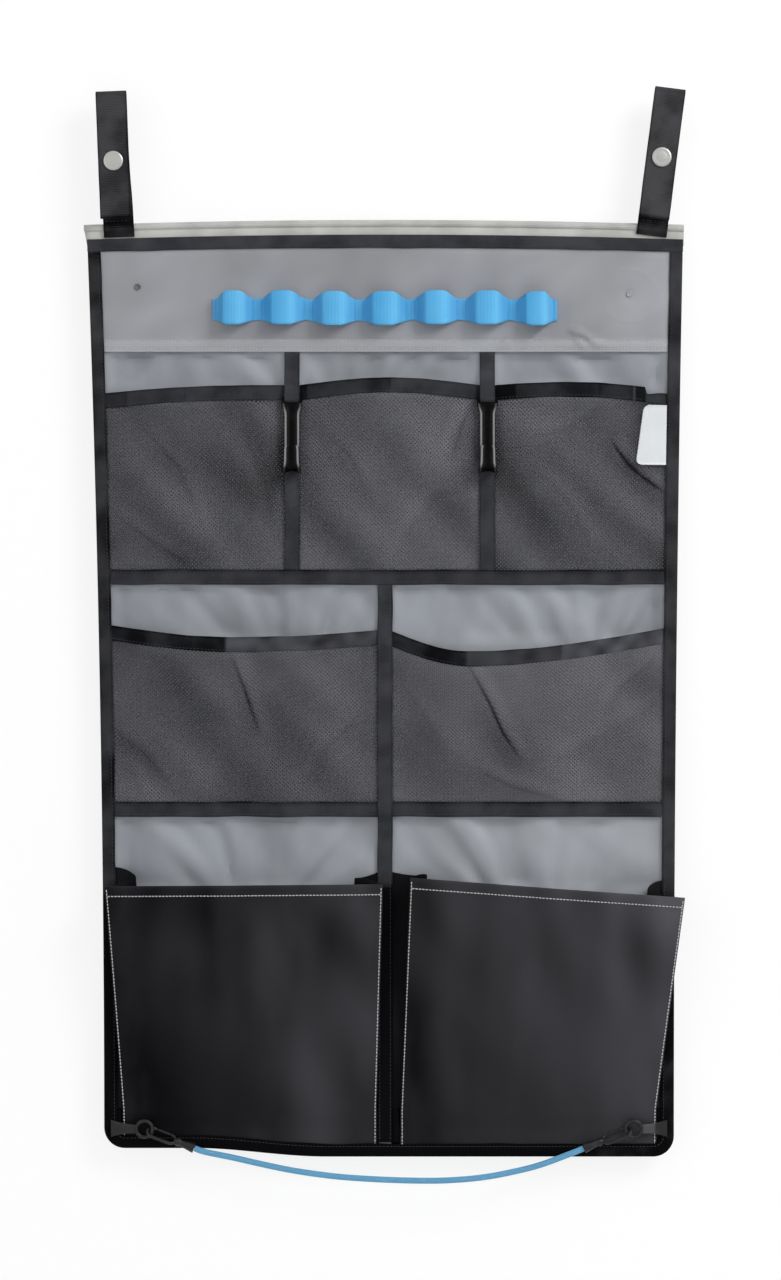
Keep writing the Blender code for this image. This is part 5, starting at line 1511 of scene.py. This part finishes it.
def make_net(pocket):
    """Open net of slanting threads that cross over and under each other."""
    width = pocket.across(1.0, pocket.floor) - pocket.across(0.0, pocket.floor)
    height = pocket.level - TRIM_WIDTH - pocket.floor

    def spot(p, q, lift):
        """The net's surface at p across and q up, and lift in front of it."""
        u = p / width
        high = pocket.mouth(u) - TRIM_WIDTH
        z = mix(pocket.floor, high, q / height) if q > 0 else pocket.floor + q
        x = pocket.across(clamp(u), z)
        if not 0 <= u <= 1:
            x += p if u < 0 else p - width
        if 0 < q < height:
            x, z = pocket.gathered(x, z)
        y = NET_Y - pocket.stand_off(u, z) - pocket.slack(u, z) - lift
        return Vector((x, y, z))

    builder = bmesh.new()
    weave = builder.loops.layers.uv.new("weave")
    tone = builder.verts.layers.float.new("shade")
    reach = int((width + height) / NET_PITCH) + 4
    for family in (-1, 1):
        for line in range(-reach, reach):
            points = []
            for cross in range(-2 * reach, 2 * reach):
                # The other family's threads cross this one at every whole number.
                if family > 0:
                    p, q = (line + cross) * NET_PITCH / 2, (cross - line) * NET_PITCH / 2
                else:
                    p, q = (cross - line) * NET_PITCH / 2, (-line - cross) * NET_PITCH / 2
                if -NET_TUCK <= p <= width + NET_TUCK and -NET_TUCK <= q <= height + TOP_TUCK:
                    over = 1 if ((cross + line) % 2 == 0) == (family > 0) else -1
                    points.append(spot(p, q, THREAD_LIFT * over))
            if len(points) < 3:
                continue
            count = len(points) - 1
            made = bmesh.ops.create_grid(builder, x_segments=count, y_segments=4, size=0.5)["verts"]
            frames = []
            for k in range(count + 1):
                ahead = (points[min(k + 1, count)] - points[max(k - 1, 0)]).normalized()
                side = ahead.cross(BACKWARDS).normalized()
                frames.append((side, side.cross(ahead)))
            for corner in made:
                k = round((corner.co.x + 0.5) * count)
                turn = math.tau * (corner.co.y + 0.5)
                side, out = frames[k]
                open_end = 0.02 if k in (0, count) else 1.0
                corner[tone] = pocket.shade(points[k].x, points[k].z)
                corner.co = points[k] + open_end * MM * (
                    THREAD_HALF_WIDTH * math.cos(turn) * side
                    + THREAD_HALF_DEPTH * math.sin(turn) * out)
    bmesh.ops.remove_doubles(builder, verts=builder.verts, dist=0.01 * MM)
    bmesh.ops.recalc_face_normals(builder, faces=builder.faces)
    for face in builder.faces:
        for loop in face.loops:
            loop[weave].uv = (loop.vert.co.x / MM, loop.vert.co.z / MM)
    net = settle("net_cloth_" + pocket.name, builder, "net", "panel", "net", ["net_" + pocket.name],
                 sharp=180)
    width + 2 * NET_TUCK


# Where each trim's tape overlaps: its place along the mouth, and its shade left and right of it,
# part the tapes' own tone and part painted light.
TRIM_LAPS = {
    "upper_left": ((0.12, -0.1, 0.0), (0.45, 0.0, 0.04)),
    "upper_middle": ((0.04, -0.2, -0.04), (0.5, -0.04, 0.06)),
    "upper_right": ((0.115, -0.2, -0.08), (0.6, -0.08, -0.14)),
    "lower_left": ((0.43, -0.16, 0.3), (0.8, 0.3, 0.22)),
    "lower_right": ((0.27, -0.16, 0.14), (0.62, 0.14, 0.34)),
}
TUCK_X = 212.0 * MM


def make_trim(pocket):
    """Tape folded over the net's top edge, pieced with overlaps and sewn along its foot."""
    columns = 144
    width = pocket.across(1.0, pocket.level) - pocket.across(0.0, pocket.level)
    laps = TRIM_LAPS[pocket.name]
    tucks = pocket.name == "upper_right"

    def run_at(u):
        return -0.03 + 1.06 * u

    def place(u, v):
        run = run_at(u)
        z = pocket.mouth(run) - TRIM_WIDTH * (1 - v)
        x = pocket.across(run, z)
        wave = 0.3 * MM * swirl(x, v * 9, 40.0 + pocket.level, 24 * MM)
        wave *= math.sin(math.pi * clamp(run))
        slack = pocket.slack(run, pocket.mouth(run) - TRIM_WIDTH) * (1 - 0.4 * v)
        step = 0.25 * MM * math.sin(math.pi * v)
        for number, (middle, _, _) in enumerate(laps):
            slanted = run - middle - 0.05 * (v - 0.5) * (number + 1)
            step += 0.55 * MM * (1 - ease(abs(slanted) * width / (9 * MM))) * (slanted < 0)
        if tucks and x > TUCK_X:
            folded = ease((x - TUCK_X) / (1.2 * MM))
            step -= 0.9 * MM * folded
            z -= 5.5 * MM * v * folded * (1 - 0.4 * ease((x - TUCK_X) / (16 * MM)))
        return Vector((x, FACING_Y - pocket.stand_off(run, z) - slack - step, z + wave))

    def shade(u, v):
        run = run_at(u)
        x = pocket.across(run, pocket.level)
        tone = laps[0][1]
        for middle, _, after in laps:
            tone = mix(tone, after, ease((run - middle) * 60 + 0.5))
            # A painted shadow line at each overlap.
            tone -= 0.12 * hump(run, middle, 0.006)
        if tone > 0:
            tone *= 1 + 0.7 * swirl(x, v * TRIM_WIDTH, pocket.level / MM, 13 * MM)
        if tucks:
            tone = mix(tone, 0.14 - 0.1 * v, ease((x - TUCK_X) / (1.2 * MM)))
            tone += 0.35 * hump(x, TUCK_X - 9 * MM, 1.6 * MM)
        return tone

    cloth("trim_tape_" + pocket.name, columns, 8, place, (width, TRIM_WIDTH), FACING_CLOTH, "tape",
          "panel", slot="black_tape", nodes=["trim_" + pocket.name], shade=shade)
    row = []
    for k in range(1, 60):
        point = place(k / 60, 0.13)
        if not (tucks and point.x > TUCK_X):
            row.append(point + 0.55 * MM * FRONTWARDS)
    stitches("trim_stitches_" + pocket.name, [row], "dark_thread", "panel")


def make_label():
    """The bare silver label on the upper right pocket: rounded left corners, a raised rim."""
    pocket = NET_POCKETS[2]
    top = Z_UPPER_MOUTH - 16.6 * MM
    height = 49.0 * MM
    corner = 5.0 * MM

    def place(u, v):
        z = top - height * (1 - v)
        right = inner_right(z) - GAP
        width = (19.0 + 6.0 * (1 - v)) * MM
        rise = min(v, 1 - v) * height
        cut = corner - math.sqrt(max(corner ** 2 - max(corner - rise, 0.0) ** 2, 0.0))
        x = mix(right - width + cut, right, u)
        share = (x - pocket.across(0, z)) / (pocket.across(1, z) - pocket.across(0, z))
        rim = min(u * width, rise, (1 - u) * width + 1.2 * MM)
        raised = 0.35 * MM * (1 - ease((rim - 0.6 * MM) / (0.7 * MM)))
        off = pocket.stand_off(share, z) + NET_CLOTH / 2 + GAP + LABEL_CLOTH / 2
        return Vector((x, NET_Y - off - raised, z))

    cloth("bare_label", 30, 48, place, (0.022, 0.049), LABEL_CLOTH, "label", "panel",
          slot="label", nodes=["label"])


# ---------------------------------------------------------- hooks and loops

# A utensil hook: its bar, then its shank's width, its bend's radius and its shoulder in mm.
BAR_RADIUS = 1.6 * MM
HOOK_SHANK = 13.0
HOOK_BEND = 7.2
HOOK_SHOULDER = -12.4
HOOK_BEND_Z = -(61.5 - HOOK_BEND - 2.2) * MM


def hook_bar(x):
    """The middle of the bar that a utensil hook swings on."""
    y = TAPE_FACE - GAP - LOOP_CLOTH - GAP - BAR_RADIUS
    return Vector((x, y, Z_UPPER_MOUTH - 11.5 * MM))


def make_hook_loop(word, x):
    """Tape from under the header's edge, down round the hook's bar and back up."""
    bar = hook_bar(x)
    wrap = BAR_RADIUS + GAP + LOOP_CLOTH / 2
    pitch = LOOP_CLOTH + GAP
    rear = PANEL_FACE - GAP - LOOP_CLOTH / 2
    bent = bar.y + wrap
    top = Z_HEADER_END - GAP
    high = mix(Z_HEADER_END, Z_UPPER_MOUTH, 0.55)
    low = mix(Z_HEADER_END, Z_UPPER_MOUTH, 0.85)
    path = [(rear, top), (rear, high), (bent, low)]
    for k in range(17):
        angle = math.pi * k / 16
        path.append((bar.y + wrap * math.cos(angle), bar.z - wrap * math.sin(angle)))
    path += [(bent - pitch, mix(bar.z, low, 0.7)), (bent - pitch, low), (rear - pitch, high),
             (rear - pitch, top)]
    line = evenly([Vector((0, y, z)) for y, z in path], 0.9 * MM)

    def place(u, v):
        point = at(line, u)
        return Vector((x + 6.2 * MM * (2 * v - 1), point.y, point.z))

    cloth("hook_tape_" + word, len(line) - 1, 6, place, (0.08, 0.0124), LOOP_CLOTH, "tape",
          "panel", slot="black_tape", nodes=["hook_loop_" + word], shade=lambda u, v: 0.16)


def make_hook(word, x):
    """A utensil hook: a frame round its bar, two rails with painted highlights and a channel, and a
    bend.
    """
    bar = hook_bar(x)
    path = [(Vector((0, 0, z * MM)), FRONTWARDS, w * MM)
            for z, w in ((-4.0, 16.7), (-5.5, 16.5), (-7.5, 15.6), (-9.5, 14.2),
                         (HOOK_SHOULDER, HOOK_SHANK))]
    for k in range(1, 13):
        z = mix(HOOK_SHOULDER * MM, HOOK_BEND_Z, k / 12)
        path.append((Vector((0, 0, z)), FRONTWARDS, HOOK_SHANK * MM))
    centre = Vector((0, -HOOK_BEND * MM, HOOK_BEND_Z))
    for k in range(1, 25):
        angle = math.pi * k / 24
        inward = Vector((0, -math.cos(angle), math.sin(angle)))
        width = mix(HOOK_SHANK, 15.4, math.sin(angle)) * MM
        path.append((centre - HOOK_BEND * MM * inward, inward, width))
    for k in range(1, 9):
        share = k / 8
        width = (mix(HOOK_SHANK, 12.5, share) - 1.2 * ease(share * 6 - 5)) * MM
        spot = Vector((0, (-2 * HOOK_BEND - 1.3 * share) * MM, HOOK_BEND_Z + 13 * MM * share))
        path.append((spot, BACKWARDS, width))
    rail = 1.35 * MM

    def section(width):
        """Two deep rails joined by a thin web, as (across, through, share of painted highlight)."""
        points = []
        for side in (-1, 1):
            middle = side * (width / 2 - rail)
            for k in range(17):
                turn = math.radians(-140 + 280 * k / 16)
                wide = math.copysign(abs(math.cos(turn)) ** 0.7, math.cos(turn))
                deep = math.copysign(abs(math.sin(turn)) ** 0.7, math.sin(turn))
                points.append((middle + side * rail * wide, side * 2.2 * MM * deep,
                               abs(math.sin(turn)) ** 7))
            for share in (0.3, 0.7):
                points.append((side * mix(width / 2 - 2 * rail, -width / 2 + 2 * rail, share),
                               side * 0.45 * MM, 0.0))
        return points

    count = len(path) - 1
    outlines = [section(width) for _, _, width in path]
    rows = len(outlines[0])

    def place(u, v):
        centre_point, inward, _ = path[round(u * count)]
        across, through, _ = outlines[round(u * count)][round(v * rows) % rows]
        return bar + centre_point + Vector((across, 0, 0)) + inward * through

    def shade(u, v):
        k = round(u * count)
        # Painted highlight along the rails' crests, fading round the bend and near the top.
        wear_and_highlight = outlines[k][round(v * rows) % rows][2]
        bent = ease((k - 17) / 5) * (1 - ease((k - 35) / 4))
        return wear_and_highlight * (0.9 - 0.8 * bent) * (0.25 + 0.75 * ease((k - 1) / 3))

    builder = bend_grid(count, rows, place, (0.09, 0.04), True, True, shade)
    arm_radii = [radius * MM for radius in (1.1, 1.25, 1.25, 1.25, 1.15, 0.5)]
    for side in (-1, 1):
        arm_x = side * 7.3 * MM
        arm = [bar + Vector((arm_x, 0, z * MM)) for z in (-6.5, -5, -3, -1, 0.6, 1.3)]
        add_part(builder, tube(arm, arm_radii, 12))
    rod = [bar + Vector((mix(-7.6, 7.6, k / 6) * MM, 0, 0)) for k in range(7)]
    add_part(builder, tube(rod, 1.55 * MM, 16))
    settle("hook_moulding_" + word, builder, "hook", "utensil_hook_" + word, "hook_plastic",
           ["utensil_hook_" + word])


# ------------------------------------------------------------- deep pockets

MOUTH_LIFT = 1.8 * MM
HEM_DROP = 8.4 * MM


# Painted light and shade on a deep pocket's front, where its cloth bulges into the light or away:
# side, middle, reach and change.
SHEEN_PATCHES = ((-1, -60, -704, 34, 100, 0.3), (-1, -165, -592, 60, 42, 0.12),
          (-1, -190, -690, 50, 90, -0.05), (1, 30, -695, 30, 130, -0.2),
          (1, 205, -672, 60, 80, 0.14), (1, 60, -570, 26, 50, 0.1))

PLEAT_DEPTH = 23 * MM
# How far a pleat's rear edge rises over the mouth, by side and whether it's an outer pleat.
PLEAT_RISES = {(-1, True): 15 * MM, (-1, False): 11 * MM, (1, False): 11 * MM, (1, True): 4 * MM}


class DeepPocket:
    """A gusseted pocket: how far its front's corners lie from the edge and the divider."""

    def __init__(self, word, side, outer, inner, top):
        self.word = word
        self.side = side
        self.outer_top, self.outer_hinge = [c * MM for c in outer]
        self.inner_top, self.inner_hinge = [c * MM for c in inner]
        self.top_outer, self.top_inner = [c * MM for c in top]

    def outer(self, s):
        """X of the front's outer edge at a share of the height from the hinge to the mouth."""
        inset = mix(self.outer_hinge, self.outer_top, s)
        return side_edge(self.side, mix(Z_HINGE, Z_DEEP_MOUTH, s)) - self.side * inset

    def inner(self, s):
        """X of the front's inner edge."""
        return LOWER_DIVIDER + self.side * mix(self.inner_hinge, self.inner_top, s)

    def front(self, u, s):
        """The front as the solid has it, without its waves."""
        x = mix(self.outer(s), self.inner(s), u)
        top = Z_DEEP_MOUTH + MOUTH_LIFT + mix(self.top_outer, self.top_inner, u)
        crown = 4.0 * MM * math.sin(math.pi * u) * ease(s)
        return Vector((x, mix(HINGE_Y, MOUTH_Y, s) - crown, mix(Z_HINGE, top, s)))

    def skin(self, u, s):
        """The whole front, from the binding (s below 0) up to the mouth."""
        if s >= 0:
            point = self.front(u, s)
            wave = 0.9 * MM * swirl(point.x * 1.6, point.z * 0.6, 3.0 + self.side, 44 * MM)
            point.y -= wave * math.sin(math.pi * clamp(u)) * ease(s * 3)
            return point
        x = mix(self.outer(0.0), self.inner(0.0), u)
        end = bottom_edge(x) + TAPE_CLOTH + 2 * GAP
        z = mix(Z_HINGE, end, -s)
        return Vector((x, mix(HINGE_Y, FACING_Y, ease(-2 * s)), z))

    def under_seam(self, is_outer, z):
        """X just under the tape that holds a pleat's rear edge."""
        if is_outer:
            return side_edge(self.side, z) - self.side * (BINDING_WIDTH - 1 * MM)
        return LOWER_DIVIDER + self.side * (TAPE_WIDTH / 2 - 1 * MM)

    def pleat(self, is_outer, w, s):
        """A pleat's cloth from the panel (w is 0) round its fold to the front (w is 1)."""
        back_x = self.under_seam(is_outer, mix(Z_HINGE + GAP, Z_DEEP_MOUTH, s))
        edge = 0.0 if is_outer else 1.0
        front = self.front(edge, s)
        inwards = -self.side if is_outer else self.side
        front_x = front.x + inwards * 2 * GAP
        front_y = front.y + GAP + GUSSET_CLOTH / 2 + FRONT_CLOTH / 2
        half_gap = (GUSSET_BACK_Y - front_y) / 2
        depth = math.sqrt(max(PLEAT_DEPTH ** 2 - half_gap ** 2, 0.0))
        power = mix(4.0, 1.2, ease(2 * s))
        x = mix(back_x, front_x, w) + inwards * depth * (1 - abs(2 * w - 1) ** power)
        y = mix(GUSSET_BACK_Y, front_y, w)
        rear_top = Z_DEEP_MOUTH + PLEAT_RISES[self.side, is_outer]
        top = mix(rear_top, self.front(edge, 1.0).z, w)
        top += 1.5 * MM * math.sin(math.tau * w) * (1 if is_outer else -1)
        return Vector((x, y, mix(Z_HINGE + 2 * GAP, top, s)))

    def sheen(self, u, s):
        """The front's painted sheen: dull at the left edge, painted paler to the right, towards the
        light, and duller towards the hinge, with slanting bands.
        """
        s = clamp(s)
        point = self.front(u, s)
        along = 1 - u if self.side > 0 else u
        tone = mix(*((0.03, 0.34) if self.side < 0 else (0.2, 0.68)), along)
        tone *= 0.6 + 0.4 * s
        bands = swirl(point.x + 0.8 * point.z, 0.4 * point.z, 3.0, 60 * MM)
        bands += 0.8 * swirl(point.x, 0.25 * point.z, 8.0, 22 * MM) * (0.2 + 0.8 * s)
        tone += 0.1 * bands * (0.45 + along) * (0.35 + s)
        for side, x, z, reach_x, reach_z, change in SHEEN_PATCHES:
            if side == self.side:
                tone += change * (hump(point.x + 0.2 * (point.z - z * MM), x * MM, reach_x * MM)
                                  * hump(point.z, z * MM, reach_z * MM))
        drop = (1 - s) * (Z_DEEP_MOUTH - Z_HINGE)
        tone += 0.1 * (1 - ease((drop - 1.5 * MM) / (1.5 * MM)))
        return tone

    def pleat_bend(self, back):
        """A point back from the hinge, on a line about which the pleats could bend.

        The planes square to that line lean forwards by a third of the front's slope. Were the mouth
        closed about it, the fold would clear the front and its rear edge would stay near the panel;
        with the mouth fully closed, the cloth between the two would go a few millimetres into the
        panel.
        """
        tilt = 0.35 * math.atan((HINGE_Y - MOUTH_Y) / (Z_DEEP_MOUTH - Z_HINGE))
        return Vector((0, HINGE_Y + back * math.cos(tilt), Z_HINGE + back * math.sin(tilt)))


DEEP_POCKETS = [
    DeepPocket("left", -1, (3.0, 15.3), (1.7, 6.9), (-1.2, 0.4)),
    DeepPocket("right", 1, (-6.9, 14.6), (20.5, 12.8), (-10.7, 5.7)),
]


def make_pleat_tails(pocket):
    """The pleats' ends below the hinge, sewn flat beside the foot and under the tapes."""
    for word in ("outer", "inner"):
        is_outer = word == "outer"
        if is_outer:
            beside = pocket.outer(0.0) + pocket.side * 0.2 * MM
        else:
            beside = pocket.inner(0.0) - pocket.side * 0.2 * MM

        def place(u, v):
            z = mix(bottom_edge(0.0) + BINDING_WIDTH - 1 * MM, Z_HINGE + 1.2 * MM, v)
            return Vector((mix(pocket.under_seam(is_outer, z), beside, u), GUSSET_BACK_Y, z))

        # The tails are painted darker: painted shade under the pockets.
        cloth(f"pleat_tail_{pocket.word}_{word}", 3, 10, place, (0.005, 0.03), GUSSET_CLOTH,
              "vinyl", "panel", slot="vinyl", soften=0.0, shade=lambda u, v: -0.3)


def make_deep_pocket(pocket):
    """Front and foot in one cloth that bends at the hinge, with a hem, sewn edges and pleats."""
    body = "pocket_front_" + pocket.word
    rows = 84
    split = 16

    def place(u, v):
        step = v * rows
        s = (step - split) / (rows - split) if step >= split else (step - split) / split
        point = pocket.skin(u, s)
        if s > 0:
            drop = (1 - s) * (Z_DEEP_MOUTH - Z_HINGE)
            hem = 1 - ease((drop - HEM_DROP) / (1.2 * MM))
            sides = min(u, 1 - u) * 215 * MM
            fold = max(hem, 1 - ease((sides - 3.5 * MM) / (1 * MM)))
            point.y -= 0.35 * MM * fold * ease(s * 8)
        return point

    def shade(u, v):
        return pocket.sheen(u, (v * rows - split) / (rows - split))

    builder = bend_grid(60, rows, place, (0.225, 0.222), shade=shade)
    front = thicken(settle("pocket_cloth_" + pocket.word, builder, "vinyl", None, "vinyl",
                           [body, "pocket_foot_" + pocket.word]), FRONT_CLOTH, even=False)
    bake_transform(front)

    def on_front(u, s, out):
        point = pocket.skin(u, s)
        point.y -= FRONT_CLOTH / 2 + out
        return point

    sides = []
    for u in (0.006, 0.994):
        sides.append([on_front(u, mix(0.985, 0.0, k / 50), 0.5 * MM) for k in range(51)]
                     + [on_front(u, -k / 10, 0.35 * MM) for k in range(1, 9)])
    drop_share = HEM_DROP / (Z_DEEP_MOUTH - Z_HINGE)
    hem_row = [on_front(mix(0.006, 0.994, k / 60), 1 - drop_share, 0.5 * MM) for k in range(61)]
    seam = stitches("pocket_stitches_" + pocket.word, sides + [hem_row], "pale_thread", None,
                    pitch=2.8, length=2.75, girth=1.1)
    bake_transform(seam)

    make_pleat_tails(pocket)
    back, forward = pocket.pleat_bend(7 * MM), pocket.pleat_bend(0)
    for is_outer, place_word in ((True, "outer"), (False, "inner")):
        name = f"{pocket.word}_{place_word}"

        def pleat(u, v, is_outer=is_outer):
            return pocket.pleat(is_outer, u, v)

        builder = bend_grid(36, 60, pleat, (0.05, 0.19))
        gusset = thicken(settle("pleat_" + name, builder, "vinyl", None, "vinyl",
                                ["gusset_" + name]), GUSSET_CLOTH, even=False)
        tuple(back)
        tuple(forward)
        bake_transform(gusset)


# ------------------------------------------------------------------- assembly

def main():
    bpy.context.scene.view_settings.view_transform = "Standard"
    make_camera()
    make_shock_cord()
    make_stage()
    make_lights()
    make_welt()
    make_top_tapes()
    make_back_panel()
    make_header()
    make_tool_band()
    make_binding()
    make_tapes()
    for pocket in NET_POCKETS:
        make_net(pocket)
        make_trim(pocket)
    make_label()
    for word, side in SIDES:
        make_strap(word, side)
        make_ring_tab(word, side)
        make_rivet(word, side)
    for word, x in zip(("left", "right"), UPPER_DIVIDERS):
        make_hook_loop(word, x)
        make_hook(word, x)
    for pocket in DEEP_POCKETS:
        make_deep_pocket(pocket)
    repaint("keder_core", "welt")


main()
